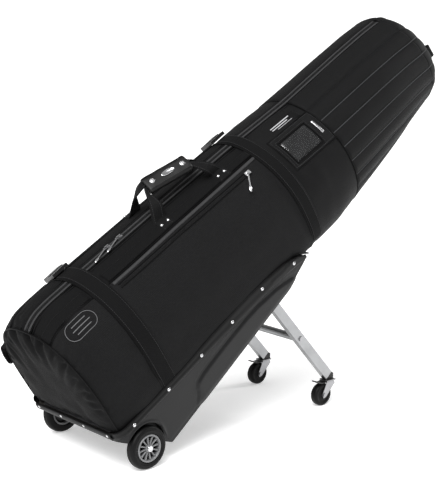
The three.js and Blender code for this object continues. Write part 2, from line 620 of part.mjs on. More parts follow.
for (const [where, side] of Object.entries(SIDES)) {
  const y0 = side * LEG.y - LEG.thick / 2;
  const y1 = side * LEG.y + LEG.thick / 2;
  const half = LEG.depth / 2;
  const tube = solid(box(-LEG.top, y0, -half, legLength, y1, half))
    .subtract(solid(box(-LEG.top - 1, y0 + LEG.wall, -half + LEG.wall, legLength + 1,
      y1 - LEG.wall, half - LEG.wall)))
    .subtract(solid(rodY(0, 0, 6.5, side * 100, side * 130)))
    .subtract(solid(rodY(LEG_BOLT, 0, 3.5, side * 100, side * 130)));
  piece(`leg_${where}`, 'aluminium', tube, legs);
}
const tubeEnd = LEG.y - LEG.thick / 2 - GAP;
piece('cross_tube', 'aluminium', solid(rodY(LEG_BOLT, 0, 9.5, -tubeEnd, tubeEnd))
  .subtract(solid(rodY(LEG_BOLT, 0, 7.5, -tubeEnd - 1, tubeEnd + 1))), legs);
const legOuter = LEG.y + LEG.thick / 2;
piece('cross_bolt', 'steel', solid(rodY(LEG_BOLT, 0, 3, -legOuter - 1, legOuter + 1, 16))
  .add(solid(rodY(LEG_BOLT, 0, 6, -legOuter - 3.4, -legOuter - GAP, 16)))
  .add(solid(rodY(LEG_BOLT, 0, 6, legOuter + GAP, legOuter + 3.4, 16))), legs);

piece('leg_pivot_shaft', 'steel', rodY(LEG.pivotU, LEG.pivotW, 6, -136.2, 136.2));
for (const [where, side] of Object.entries(SIDES)) {
  const plate = solid(plateXz([[488, 107.4], [496, 66], [506, 51], [522, 51], [534, 66], [544, 107.4]],
    side * 126.4, side * 136.6)).subtract(solid(rodY(LEG.pivotU, LEG.pivotW, 6.5, side * 120, side * 140)));
  piece(`pivot_bracket_${where}`, 'plastic', plate);
}

// ---------------------------------------------------------------- casters
for (const [where, side] of Object.entries(SIDES)) {
  const cy = side * CASTER.y;
  const z = CASTER.plateZ;
  const plug = plateXz([[616.3, 65.8], [634.9, 82.3], [641, 79], [641, 64.9], [608, 64.9], [608, 65.5]],
    side * LEG.y - 8, side * LEG.y + 8);
  piece(`leg_plug_${where}`, 'plastic', plug, stand);
  const plate = solid(box(611, cy - 14, z - 0.6, 642, cy + 14, z + 1.9))
    .add(solid(rodZ(CASTER.pivotX, cy, 4, 56, z)))
    .add(solid(rodZ(CASTER.pivotX, cy, 5.6, 55.4, 57.6)));
  piece(`caster_plate_${where}`, 'steel', plate, stand);

  const crown = solid(rodZ(CASTER.pivotX + 2, cy, 15, 58.4, 61.2, 20))
    .intersect(solid(box(610.4, cy - 13.4, 50, 645, cy + 13.4, 70)));
  let fork = crown;
  for (const s of [-1, 1]) {
    const cheek = [[610.4, 61.2], [636, 61.2], [639, 55], [609, 24], [600, 20.5], [596, 27], [597, 34]];
    fork = fork.add(solid(plateXz(cheek, cy + s * 11.4, cy + s * 13.4)));
  }
  fork = fork.subtract(solid(rodZ(CASTER.pivotX, cy, 4.4, 50, 70)))
    .subtract(solid(rodY(CASTER.x, CASTER.r, 3.3, cy - 20, cy + 20)));
  piece(`caster_fork_${where}`, 'steel', fork, stand);

  const tread = [[3.6, -9], [8, -10.6], [21, -9.6], [26.4, -CASTER.half + 1.4], [CASTER.r, -6.4],
    [CASTER.r, 6.4], [26.4, CASTER.half - 1.4], [21, 9.6], [8, 10.6], [3.6, 9], [3.6, -9]];
  const wheel = lathe(tread, 28).translate(CASTER.x, cy, CASTER.r);
  piece(`caster_wheel_${where}`, 'rubber', wheel, stand);
  piece(`caster_axle_${where}`, 'steel', solid(rodY(CASTER.x, CASTER.r, 3, cy - 14.4, cy + 14.4, 16))
    .add(solid(rodY(CASTER.x, CASTER.r, 5, cy - 15.8, cy - 13.7, 16)))
    .add(solid(rodY(CASTER.x, CASTER.r, 5, cy + 13.7, cy + 15.8, 16))), stand);

  const lever = [[609.2, 59], [609.2, 61.4], [597, 61.4], [588, 65], [580, 67.4], [578.6, 65.2], [587, 61.4], [596, 59]];
  piece(`brake_lever_${where}`, 'plastic', plateXz(lever, cy - 10, cy + 10), stand);
}

export default root;
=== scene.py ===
"""Golf travel case: the looks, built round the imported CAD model.

Lengths are millimetres in the case's own leaning frame (u along the case, y across it, w away
from the skid) until to_row() turns them into metres in the row frame.
"""
import math
from functools import lru_cache

import bmesh
import bpy
import numpy as np
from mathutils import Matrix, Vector


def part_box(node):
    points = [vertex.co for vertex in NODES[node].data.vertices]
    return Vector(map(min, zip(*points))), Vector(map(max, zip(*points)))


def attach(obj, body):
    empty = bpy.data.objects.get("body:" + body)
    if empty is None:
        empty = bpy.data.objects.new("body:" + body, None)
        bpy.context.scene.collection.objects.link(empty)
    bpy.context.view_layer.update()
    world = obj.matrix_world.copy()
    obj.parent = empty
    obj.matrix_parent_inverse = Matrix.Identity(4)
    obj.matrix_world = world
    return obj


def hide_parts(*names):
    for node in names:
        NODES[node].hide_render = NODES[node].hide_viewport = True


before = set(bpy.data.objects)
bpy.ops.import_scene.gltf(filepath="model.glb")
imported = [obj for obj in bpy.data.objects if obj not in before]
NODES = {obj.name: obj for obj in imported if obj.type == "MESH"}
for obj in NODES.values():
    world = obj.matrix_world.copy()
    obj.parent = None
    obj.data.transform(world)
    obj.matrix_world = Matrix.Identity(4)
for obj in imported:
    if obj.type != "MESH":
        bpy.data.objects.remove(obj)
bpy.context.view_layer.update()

# ---------- driving dimensions
MM = 0.001
TILT = math.radians(31.5)
ORIGIN_X = -425.9
SIDES = {"near": -1, "far": 1}

# u, half width, widest level, top, bottom, roundness above and below the widest level
STATIONS = np.array([
    [-18, 158, 190, 376, 60, 2.3, 4],
    [20, 167, 195, 398, 60, 2.2, 4],
    [62, 170, 198, 402, 60, 2.1, 4],
    [131, 171, 200, 400, 60, 2.1, 4],
    [400, 170, 197, 389, 60, 2.05, 4],
    [600, 168, 192, 379, 60, 2, 4],
    [680, 167, 190, 375, 52, 2, 3.3],
    [760, 166.5, 191, 368, 46, 2, 3],
    [881, 165, 193, 359, 34, 2, 2.2],
    [1100, 150, 204, 354, 54, 2, 2],
    [1200, 141, 209, 350, 68, 2, 2],
    [1264, 133.5, 211, 344.5, 78, 2, 2],
], float)
BASE_U = -8
COLLAR_U = 680
RIB_U = 881
DOME_U, DOME_LENGTH, DOME_POWER, DOME_DROP = 1264, 66, 2.3, 10
RIM_W = 118
ZIP_Y, GROOVE = -11.5, 13          # main zipper's centre line, and its edge grooves from there
RIBS = [85 + 43 * k for k in range(9)]

# ---------- frames and surfaces


def to_row(points):
    """Case-frame millimetres to row-frame metres."""
    p = np.asarray(points, float)
    u, y, w = p[..., 0], p[..., 1], p[..., 2]
    x = u * math.cos(TILT) - w * math.sin(TILT) + ORIGIN_X
    z = u * math.sin(TILT) + w * math.cos(TILT)
    return np.stack([x, y, z], -1) * MM


@lru_cache(maxsize=None)
def ring(u):
    """The case's outline at u: arc length from the top centre (near side negative), y and w."""
    inside = min(u, DOME_U)
    near_u = [inside - 14, inside, inside + 14]
    a, wc, top, bottom, n_top, n_low = (
        np.mean(np.interp(near_u, STATIONS[:, 0], STATIONS[:, k])) for k in range(1, 7))
    phi = np.linspace(-math.pi, math.pi, 1441)
    upper = np.abs(phi) <= math.pi / 2
    n = np.where(upper, n_top, n_low)
    y = np.sign(phi) * a * np.abs(np.sin(phi)) ** (2 / n)
    w = np.where(upper, top - wc, bottom - wc) * np.abs(np.cos(phi)) ** (2 / n)
    length = np.concatenate([[0], np.cumsum(np.hypot(np.diff(y), np.diff(w)))])
    f = min(1, max(0, (u - DOME_U) / DOME_LENGTH))
    scale = (1 - f ** DOME_POWER) ** (1 / DOME_POWER)
    return length - length[720], y * scale, wc - DOME_DROP * f * f + w * scale


def arc_at_y(u, y):
    """Arc position where the upper outline reaches y."""
    length, ys, _ = ring(u)
    return np.interp(y, ys[360:1081], length[360:1081])


def arc_at_level(u, side, w):
    """Arc position on one side where the outline comes down to level w."""
    length, _, ws = ring(u)
    part = slice(720, 1441)
    s = np.interp(-w, -ws[part], length[part])
    return side * s


def half_outline(u):
    return ring(u)[0][-1]


def skin(us, ss):
    """Points on the outside: one row for each u, at the arc positions of that row."""
    rows = []
    for u, s in zip(us, ss):
        length, y, w = ring(round(float(u), 3))
        rows.append(np.stack([np.full(len(s), u), np.interp(s, length, y), np.interp(s, length, w)], 1))
    return np.array(rows)


def facing_out(grid):
    """1 when rows by columns turns outwards from the case's middle, -1 when it turns inwards."""
    n = np.cross(np.gradient(grid, axis=0), np.gradient(grid, axis=1))
    away = grid - [0, 0, 200]
    away[..., 0] = 0
    return 1 if np.sum(n * away) >= 0 else -1


def normals(grid):
    n = np.cross(np.gradient(grid, axis=0), np.gradient(grid, axis=1))
    return facing_out(grid) * n / np.maximum(np.linalg.norm(n, axis=-1, keepdims=True), 1e-9)


def raised(grid, height):
    return grid + normals(grid) * np.asarray(height)[..., None]


def on_skin(pairs, lift):
    """Points a little above the case at (u, arc position) pairs, and the ways out of it there."""
    points, outs = [], []
    for u, s in pairs:
        around = skin([u - 3, u, u + 3], [[s - 3, s, s + 3]] * 3)
        out = normals(around)[1, 1]
        points.append(around[1, 1] + out * lift)
        outs.append(out)
    return np.array(points), np.array(outs)


def smooth_noise(x, y, seed):
    """Smooth noise from -1 to 1, with one bump to each unit of x and y."""
    table = np.random.default_rng(seed).uniform(-1, 1, (64, 64))
    xi, yi = np.floor(x).astype(int), np.floor(y).astype(int)
    fx, fy = x - xi, y - yi
    fx, fy = fx * fx * (3 - 2 * fx), fy * fy * (3 - 2 * fy)
    pick = lambda i, j: table[(xi + i) % 64, (yi + j) % 64]
    low = pick(0, 0) * (1 - fx) + pick(1, 0) * fx
    high = pick(0, 1) * (1 - fx) + pick(1, 1) * fx
    return low * (1 - fy) + high * fy


def groove(d, width):
    """1 on a line and fading to 0 over a width from it."""
    return np.exp(-((d / width) ** 2))


# ---------- mesh helpers
def add_mesh(name, points, faces, material, body="case", slot=None, uv=None):
    """A new piece from case-frame points; uv is one pair in metres for each point."""
    mesh = bpy.data.meshes.new(name)
    mesh.from_pydata([tuple(p) for p in to_row(points)], [], faces)
    if uv is not None:
        layer = mesh.uv_layers.new(name="UVMap")
        corner = np.empty(len(mesh.loops), int)
        mesh.loops.foreach_get("vertex_index", corner)
        layer.data.foreach_set("uv", np.asarray(uv, float)[corner].ravel())
    mesh.polygons.foreach_set("use_smooth", [True] * len(mesh.polygons))
    for m in material if isinstance(material, (list, tuple)) else [material]:
        mesh.materials.append(m)
    mesh.update()
    obj = bpy.data.objects.new(name, mesh)
    bpy.context.scene.collection.objects.link(obj)
    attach(obj, body)
    return obj


def thicken(obj, thickness):
    """Gives a sheet its thickness in mm, on its inner side."""
    solid = obj.modifiers.new("Solidify", "SOLIDIFY")
    solid.thickness = thickness * MM
    solid.offset = -1


def grid_faces(rows, cols, wrap=False):
    faces = []
    span = cols if wrap else cols - 1
    for i in range(rows - 1):
        for j in range(span):
            k = (j + 1) % cols
            faces.append((i * cols + j, (i + 1) * cols + j, (i + 1) * cols + k, i * cols + k))
    return faces


def grid_uv(grid):
    """Distances along the rows and columns, in metres."""
    du = np.linalg.norm(np.diff(grid, axis=0), axis=-1)
    dv = np.linalg.norm(np.diff(grid, axis=1), axis=-1)
    u = np.concatenate([np.zeros((1, grid.shape[1])), np.cumsum(du, 0)])
    v = np.concatenate([np.zeros((grid.shape[0], 1)), np.cumsum(dv, 1)], 1)
    return np.stack([u, v], -1).reshape(-1, 2) * MM


def add_grid(name, grid, material, thickness=0.0, **kw):
    rows, cols = grid.shape[:2]
    faces = grid_faces(rows, cols)
    if facing_out(grid) < 0:
        faces = [f[::-1] for f in faces]
    obj = add_mesh(name, grid.reshape(-1, 3), faces, material, uv=grid_uv(grid), **kw)
    if thickness:
        thicken(obj, thickness)
    return obj


def join_shapes(shapes):
    """One list of points and faces out of several."""
    points, faces = [], []
    for p, f in shapes:
        base = len(points)
        points.extend(np.asarray(p, float).tolist())
        faces.extend([tuple(base + i for i in face) for face in f])
    return points, faces


def capped_faces(rows, sides):
    """Faces round a tube of rings, closed at each end by a fan to a point after the rings."""
    faces = [f[::-1] for f in grid_faces(rows, sides, wrap=True)]
    n, last = rows * sides, (rows - 1) * sides
    for j in range(sides):
        k = (j + 1) % sides
        faces += [(n, j, k), (n + 1, last + k, last + j)]
    return faces


def tube_shape(path, radius, sides=8, flat=1.0, up=None):
    """A closed round tube along a path; flat below 1 makes it lower than it is wide."""
    path = np.asarray(path, float)
    along = np.gradient(path, axis=0)
    along /= np.linalg.norm(along, axis=1, keepdims=True)
    if up is None:
        up = np.tile(np.array([0.0, 0.0, 1.0]), (len(path), 1))
        flatwise = np.abs(along @ np.array([0.0, 0.0, 1.0])) > 0.95
        up[flatwise] = (1.0, 0.0, 0.0)
    side = np.cross(up, along)
    side /= np.linalg.norm(side, axis=1, keepdims=True)
    upright = np.cross(along, side)
    angle = np.arange(sides) * 2 * math.pi / sides
    ringed = (path[:, None] + side[:, None] * (radius * np.cos(angle))[None, :, None]
              + upright[:, None] * (radius * flat * np.sin(angle))[None, :, None])
    return list(ringed.reshape(-1, 3)) + [path[0], path[-1]], capped_faces(len(path), sides)


def block_shape(centre, x, y, z, size, taper=1.0):
    """A box on its own axes, its top drawn in by taper."""
    c = np.asarray(centre, float)
    half = np.asarray(size, float) / 2
    points = []
    for k in (-1, 1):
        t = taper if k > 0 else 1
        for i, j in ((-1, -1), (1, -1), (1, 1), (-1, 1)):
            points.append(c + x * i * half[0] * t + y * j * half[1] * t + z * k * half[2])
    faces = [(0, 3, 2, 1), (4, 5, 6, 7), (0, 1, 5, 4), (1, 2, 6, 5), (2, 3, 7, 6), (3, 0, 4, 7)]
    return points, faces


def button_shape(centre, normal, profile, sides=16):
    """A turned cap on a surface, from (radius, height) pairs that end on the axis."""
    normal = np.asarray(normal, float) / np.linalg.norm(normal)
    helper = np.array([1.0, 0, 0]) if abs(normal[0]) < 0.8 else np.array([0, 0, 1.0])
    x = np.cross(helper, normal)
    x /= np.linalg.norm(x)
    y = np.cross(normal, x)
    angle = np.arange(sides) * 2 * math.pi / sides
    points = []
    for radius, height in profile:
        for t in angle:
            points.append(centre + radius * (math.cos(t) * x + math.sin(t) * y) + height * normal)
    points += [centre + profile[0][1] * normal, centre + profile[-1][1] * normal]
    return points, capped_faces(len(profile), sides)


def recalc(obj):
    bm = bmesh.new()
    bm.from_mesh(obj.data)
    bmesh.ops.recalc_face_normals(bm, faces=bm.faces)
    bm.to_mesh(obj.data)
    bm.free()
    return obj


def add_shapes(name, shapes, material, **kw):
    points, faces = join_shapes(shapes)
    obj = add_mesh(name, points, faces, material, **kw)
    return recalc(obj)


def bevel(obj, width, segments=2):
    mod = obj.modifiers.new("Bevel", "BEVEL")
    mod.width = width * MM
    mod.segments = segments
    mod.limit_method = "ANGLE"
    mod.angle_limit = math.radians(32)
    mod.harden_normals = False
    for p in obj.data.polygons:
        p.use_smooth = True
    tidy = obj.modifiers.new("Weighted", "WEIGHTED_NORMAL")
    tidy.keep_sharp = True
    return obj


# ---------- materials
def tree_of(name):
    material = bpy.data.materials.new(name)
    material.use_nodes = True
    nodes = material.node_tree.nodes
    return material, nodes, material.node_tree.links, nodes["Principled BSDF"]


def node(nodes, kind, **values):
    n = nodes.new(kind)
    for key, value in values.items():
        setattr(n, key, value)
    return n


def math_node(nodes, links, operation, a, b=None):
    n = node(nodes, "ShaderNodeMath", operation=operation)
    for socket, value in ((0, a), (1, b)):
        if value is None:
            continue
        if isinstance(value, (int, float)):
            n.inputs[socket].default_value = value
        else:
            links.new(value, n.inputs[socket])
    return n.outputs[0]


def noise(nodes, links, vector, scale, detail=4.0, rough=0.55):
    n = node(nodes, "ShaderNodeTexNoise")
    n.inputs["Scale"].default_value = scale
    n.inputs["Detail"].default_value = detail
    n.inputs["Roughness"].default_value = rough
    links.new(vector, n.inputs["Vector"])
    return n.outputs["Fac"]


def ramp(nodes, links, value, low, high, dark, light):
    n = node(nodes, "ShaderNodeValToRGB")
    n.color_ramp.elements[0].position = low
    n.color_ramp.elements[1].position = high
    n.color_ramp.elements[0].color = (*dark, 1)
    n.color_ramp.elements[1].color = (*light, 1)
    links.new(value, n.inputs["Fac"])
    return n.outputs["Color"]


def bump(nodes, links, height, strength, distance, below=None):
    n = node(nodes, "ShaderNodeBump")
    n.inputs["Strength"].default_value = strength
    n.inputs["Distance"].default_value = distance
    links.new(height, n.inputs["Height"])
    if below is not None:
        links.new(below, n.inputs["Normal"])
    return n.outputs["Normal"]


def shades(colour, spread):
    return [c * (1 - spread) for c in colour], [min(1, c * (1 + spread)) for c in colour]


def cloth(name, colour, thread, relief=0.5, rough=0.8, twill=False, sheen=0.01, spread=0.3,
          spec=0.09):
    """Woven cloth: two sets of threads of a given width in mm, slubs, and wear in patches."""
    material, nodes, links, shader = tree_of(name)
    uv = node(nodes, "ShaderNodeUVMap", uv_map="UVMap").outputs["UV"]
    where = node(nodes, "ShaderNodeTexCoord").outputs["Object"]
    split = node(nodes, "ShaderNodeSeparateXYZ")
    links.new(uv, split.inputs[0])
    turns = math.pi / (thread * MM)
    along, across = split.outputs[0], split.outputs[1]
    if twill:
        across = math_node(nodes, links, "ADD", across, along)
    warp = math_node(nodes, links, "SINE", math_node(nodes, links, "MULTIPLY", along, turns))
    weft = math_node(nodes, links, "SINE", math_node(nodes, links, "MULTIPLY", across, turns))
    check = math_node(nodes, links, "MULTIPLY", warp, weft)
    weave = math_node(nodes, links, "MULTIPLY_ADD", check, 0.5)
    weave.node.inputs[2].default_value = 0.5
    slub = noise(nodes, links, where, 260, 3)
    patch = noise(nodes, links, where, 9, 5)
    mixed = math_node(nodes, links, "MULTIPLY_ADD", weave, 0.35)
    links.new(math_node(nodes, links, "MULTIPLY", slub, 0.55), mixed.node.inputs[2])
    mixed = math_node(nodes, links, "ADD", mixed, math_node(nodes, links, "MULTIPLY", patch, 0.35))
    dark, light = shades(colour, spread)
    links.new(ramp(nodes, links, mixed, 0.3, 0.95, dark, light), shader.inputs["Base Color"])
    roughness = math_node(nodes, links, "MULTIPLY_ADD", patch, 0.16)
    roughness.node.inputs[2].default_value = rough - 0.08
    links.new(roughness, shader.inputs["Roughness"])
    fine = bump(nodes, links, weave, relief, 0.0004)
    links.new(bump(nodes, links, patch, 0.12, 0.004, fine), shader.inputs["Normal"])
    shader.inputs["Sheen Weight"].default_value = sheen
    shader.inputs["Sheen Roughness"].default_value = 0.45
    shader.inputs["Specular IOR Level"].default_value = spec
    return material


def moulded(name, colour, rough=0.5, grain=420, relief=0.25, spread=0.12, spec=0.5):
    """Moulded plastic or rubber: fine grain, uneven gloss and a few scuffs."""
    material, nodes, links, shader = tree_of(name)
    where = node(nodes, "ShaderNodeTexCoord").outputs["Object"]
    fine = noise(nodes, links, where, grain, 2)
    patch = noise(nodes, links, where, 14, 6)
    scuff = noise(nodes, links, where, 55, 8, 0.7)
    dark, light = shades(colour, spread)
    tone = math_node(nodes, links, "ADD", math_node(nodes, links, "MULTIPLY", patch, 0.6),
                     math_node(nodes, links, "MULTIPLY", scuff, 0.4))
    links.new(ramp(nodes, links, tone, 0.35, 0.7, dark, light), shader.inputs["Base Color"])
    gloss = math_node(nodes, links, "MULTIPLY_ADD", scuff, 0.22)
    gloss.node.inputs[2].default_value = rough - 0.11
    links.new(gloss, shader.inputs["Roughness"])
    links.new(bump(nodes, links, fine, relief, 0.0003), shader.inputs["Normal"])
    shader.inputs["Specular IOR Level"].default_value = spec
    return material


def brushed(name, colour, rough=0.3, stretch=(4, 60, 900)):
    """Drawn or plated metal with fine lines along one way."""
    material, nodes, links, shader = tree_of(name)
    where = node(nodes, "ShaderNodeTexCoord").outputs["Object"]
    mapping = node(nodes, "ShaderNodeMapping")
    mapping.inputs["Scale"].default_value = stretch
    links.new(where, mapping.inputs["Vector"])
    lines = noise(nodes, links, mapping.outputs["Vector"], 1.0, 3)
    patch = noise(nodes, links, where, 24, 5)
    dark, light = shades(colour, 0.1)
    links.new(ramp(nodes, links, patch, 0.3, 0.75, dark, light), shader.inputs["Base Color"])
    gloss = math_node(nodes, links, "MULTIPLY_ADD", lines, 0.18)
    gloss.node.inputs[2].default_value = rough - 0.06
    links.new(gloss, shader.inputs["Roughness"])
    links.new(bump(nodes, links, lines, 0.15, 0.0002), shader.inputs["Normal"])
    shader.inputs["Metallic"].default_value = 1
    return material


def clear_vinyl():
    material, nodes, links, shader = tree_of("clear_vinyl")
    where = node(nodes, "ShaderNodeTexCoord").outputs["Object"]
    haze = noise(nodes, links, where, 30, 5)
    tint = ramp(nodes, links, haze, 0.3, 0.8, (0.02, 0.0205, 0.021), (0.045, 0.046, 0.047))
    links.new(tint, shader.inputs["Base Color"])
    links.new(bump(nodes, links, haze, 0.5, 0.004), shader.inputs["Normal"])
    shader.inputs["Roughness"].default_value = 0.12
    shader.inputs["Alpha"].default_value = 0.38
    shader.inputs["Coat Weight"].default_value = 0.6
    return material


CASE_CLOTH = cloth("case_cloth", (0.0042, 0.0042, 0.0044), 0.9, spread=0.5)
PANEL_CLOTH = cloth("panel_cloth", (0.0056, 0.0056, 0.0059), 1.9, relief=1.3, twill=True, spread=0.7,
                    spec=0.13)
BARREL_CLOTH = cloth("barrel_cloth", (0.0034, 0.0034, 0.0036), 0.9, rough=0.62, spread=0.5, spec=0.11)
STRIP_CLOTH = cloth("strip_cloth", (0.024, 0.024, 0.025), 0.8, rough=0.6, spec=0.3)
WEBBING = cloth("webbing", (0.0046, 0.0046, 0.0048), 2.2, relief=1.2, rough=0.75, twill=True, spec=0.07)
DARK_WEBBING = cloth("dark_webbing", (0.0028, 0.0028, 0.003), 2.2, relief=1.0, rough=0.7, twill=True,
                     spec=0.12)
PIPING = cloth("piping", (0.0016, 0.0016, 0.0017), 0.6, rough=0.6, spec=0.08)
RIB_PIPING = cloth("rib_piping", (0.06, 0.061, 0.063), 0.5, rough=0.5)
ZIP_TAPE = cloth("zip_tape", (0.009, 0.009, 0.0094), 0.5, rough=0.65)
COIL = moulded("coil", (0.003, 0.003, 0.003), 0.4, 900, spec=0.2)
THREAD = moulded("thread", (0.03, 0.03, 0.031), 0.6, 1500, spec=0.3)
MARK_THREAD = moulded("mark_thread", (0.12, 0.12, 0.123), 0.6, 1500, spec=0.3)
PALE_THREAD = moulded("pale_thread", (0.42, 0.42, 0.43), 0.55, 1500)
GRIP_SKIN = moulded("grip_skin", (0.003, 0.003, 0.003), 0.5, 700, 0.6, spec=0.3)
SKID_PLASTIC = moulded("skid_plastic", (0.0076, 0.0076, 0.0079), 0.44, 520, 0.6, spread=0.2, spec=0.2)
FLANGE_PLASTIC = moulded("flange_plastic", (0.003, 0.003, 0.0031), 0.5, 520, 0.4, spec=0.2)
BLACK_PLASTIC = moulded("black_plastic", (0.0035, 0.0035, 0.0036), 0.36, 520, 0.3, spec=0.35)
TYRE_RUBBER = moulded("tyre_rubber", (0.0022, 0.0022, 0.0023), 0.5, 380, 0.5, spec=0.16)
RIM_PLASTIC = moulded("rim_plastic", (0.16, 0.162, 0.166), 0.3, 600, 0.15, spec=0.5)
SILVER = brushed("silver", (0.6, 0.6, 0.61), 0.2, (90, 90, 90))
ALUMINIUM = brushed("aluminium", (0.34, 0.344, 0.35), 0.36)
ZINC = brushed("zinc", (0.34, 0.34, 0.35), 0.3, (60, 60, 60))
BOARD = moulded("deck_fibre", (0.03, 0.027, 0.024), 0.8, 260, 0.5)
FOAM_CLOTH = moulded("foam_cover", (0.04, 0.04, 0.042), 0.85, 320, 0.8)
VINYL = clear_vinyl()

# ---------- soft shells
SHELL = 3.5                        # thickness of the padded cloth
PANEL_START = 26                   # grid columns between the zipper and the side panel's seam


def spread_between(a, b, count):
    """Positions from a to b, closer together at both ends."""
    t = np.linspace(0, 1, count + 1)
    t = 0.45 * t + 0.55 * (0.5 - 0.5 * np.cos(math.pi * t))
    return a + (b - a) * t


def through(stops, counts):
    parts = [spread_between(a, b, n)[:-1] for a, b, n in zip(stops, stops[1:], counts)]
    return np.concatenate([*parts, [stops[-1]]])


def zip_edge(u, side):
    return arc_at_y(u, ZIP_Y + side * GROOVE)


def pocket_seam(u, side):
    """The seam under the webbing band, where the side panel starts."""
    y = np.interp(u, [-20, 250, 680], [86, 86, 79])
    return arc_at_y(u, side * y)


def pocket_zip(u, side):
    return arc_at_y(u, side * np.interp(u, [194, 640], [103.5, 101]))


def hem(u, side):
    past = max(0, (u - 600) / (COLLAR_U - 600))
    return arc_at_level(u, side, RIM_W + 1 + (76 - RIM_W - 1) * past)


def lower_shell(where, side):
    us = through([BASE_U + 0.3, 20, 131, 176, 400, 640, COLLAR_U - 0.3], [14, 34, 16, 60, 60, 16])
    rows = [through([abs(zip_edge(u, side)) * side, pocket_seam(u, side), pocket_zip(u, side), hem(u, side)],
                    [PANEL_START, 8, 84]) for u in us]
    grid = skin(us, rows)
    u = grid[..., 0]
    s = np.array(rows)
    edge, seam, hem_s = s[:, :1], s[:, PANEL_START:PANEL_START + 1], s[:, -1:]
    from_edge, from_seam, from_hem = abs(s - edge), abs(s - seam), abs(s - hem_s)
    drift = smooth_noise(u / 95, s / 60, 3 + side) + 0.5 * smooth_noise(u / 41, s / 33, 5 + side)
    height = 0.6 + 1.0 * drift
    height -= 2.2 * groove(from_edge, 3.5) + 1.6 * groove(from_seam, 2.4)
    height += 1.8 * groove(from_hem - 34, 22) - 1.0 * groove(from_hem, 8)
    # the strap pulls the cloth in a little, and the cloth is fuller beyond it
    height -= 1.6 * groove(u - 153, 26)
    height += 2.0 * groove(u - 75, 34)
    # gathers where the side meets the base end
    base = np.exp(-(u - BASE_U) / 26)
    gather = np.sin(s / 6.5 + 1.4 * smooth_noise(u / 18, s / 25, 7) * 3)
    height += base * (3.4 * gather * smooth_noise(u * 0, s / 42, 11 + side) - 1.8 * groove(u - BASE_U, 7))
    # diagonal pulls at the lower corner and by the collar
    corner = groove(u - 40, 46) * groove(from_hem - 70, 60)
    height += 1.6 * corner * np.sin((u * 0.9 + s * 0.6) / 13)
    height -= 1.4 * groove(u - 668, 12)
    obj = add_grid(f"lower_case_{where}", raised(grid, height), [CASE_CLOTH, PANEL_CLOTH], SHELL,
                   slot="body_panel")
    across = len(rows[0]) - 1
    index = [int(k % across >= PANEL_START) for k in range(len(obj.data.polygons))]
    obj.data.polygons.foreach_set("material_index", index)
    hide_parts(f"lower_shell_{where}")


def rib_height(s):
    """Padded channels between sewn lines."""
    line = np.min([abs(abs(s) - r) for r in RIBS], axis=0)
    return 2.6 * (1 - groove(line, 11)) - 2.2 * groove(line, 2.4)


def barrel_shell(where, side):
    us = through([COLLAR_U, 717, RIB_U, DOME_U - 0.3], [14, 44, 96])
    count = 190
    rows = [side * np.linspace(abs(zip_edge(u, side)), half_outline(u) * 0.9998, count) for u in us]
    grid = skin(us, rows)
    u, s = grid[..., 0], np.array(rows)
    edge = s[:, :1]
    ribbed = 1 / (1 + np.exp(-(u - RIB_U - 3) / 1.6))
    height = 0.8 * smooth_noise(u / 80, s / 70, 21 + side) + 0.4
    height -= 2.0 * groove(abs(s - edge), 3.5)
    height += ribbed * rib_height(s)
    height -= 2.6 * groove(u - RIB_U, 2.6)
    collar = groove(u - 790, 70)
    height += 1.6 * collar + 0.9 * collar * smooth_noise(u / 26, s / 48, 31)
    height -= 1.6 * groove(u - 699, 15) + 1.2 * groove(u - COLLAR_U, 5)
    # a few soft creases run down the collar from the strap
    crease = np.sin((s * 0.35 + u * 0.8) / 9) * groove(u - 735, 26) * groove(abs(s) - 150, 70)
    height += 1.1 * crease
    obj = add_grid(f"barrel_{where}", raised(grid, height), BARREL_CLOTH, SHELL, slot="body_fabric")
    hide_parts(f"barrel_shell_{where}")
    shapes = []
    for r in RIBS[1:]:
        line_us = [u for u in np.linspace(RIB_U + 2, DOME_U + 40, 60)
                   if half_outline(min(u, DOME_U)) > r + 14]
        if len(line_us) > 5:
            path = skin(line_us, [[side * r]] * len(line_us))[:, 0]
            shapes.append(tube_shape(path, 0.9, 6))
    add_shapes(f"rib_piping_{where}", shapes, RIB_PIPING, slot="body_fabric")


def dome():
    rows = [0, 0.08, 0.16, 0.25, 0.34, 0.43, 0.52, 0.6, 0.68, 0.75, 0.81, 0.86, 0.9, 0.94, 0.97, 0.99]
    count = 320
    half = half_outline(DOME_U)
    s = np.linspace(-half, half, count, endpoint=False)
    us = [DOME_U + DOME_LENGTH * f for f in rows]
    grid = skin(us, [s] * len(rows))
    centre = np.array([DOME_U - 20, 0, 205.0])
    out = grid - centre
    out /= np.linalg.norm(out, axis=-1, keepdims=True)
    fade = np.clip(1.15 - np.array(rows), 0, 1)[:, None]
    height = rib_height(np.tile(s, (len(rows), 1))) * fade
    zip_line = abs(s[None, :] - arc_at_y(DOME_U, ZIP_Y))
    height = height - 3.2 * groove(zip_line - GROOVE, 4) * fade + 2.0 * groove(zip_line, 8) * fade
    height += 1.0 * smooth_noise(grid[..., 0] / 20, np.tile(s, (len(rows), 1)) / 40, 17) * fade
    grid = grid + out * height[..., None]
    points = list(grid.reshape(-1, 3)) + [np.array([DOME_U + DOME_LENGTH, 0, 201.0])]
    faces = grid_faces(len(rows), count, wrap=True)
    last = (len(rows) - 1) * count
    faces += [(last + j, len(points) - 1, last + (j + 1) % count) for j in range(count)]
    uv = [(math.hypot(p[1], p[2] - 205) * MM, math.atan2(p[1], p[2] - 205) * 0.13) for p in points]
    obj = add_mesh("dome_end", points, faces, BARREL_CLOTH, uv=uv, slot="body_fabric")
    thicken(obj, SHELL)
    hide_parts("barrel_dome_end")


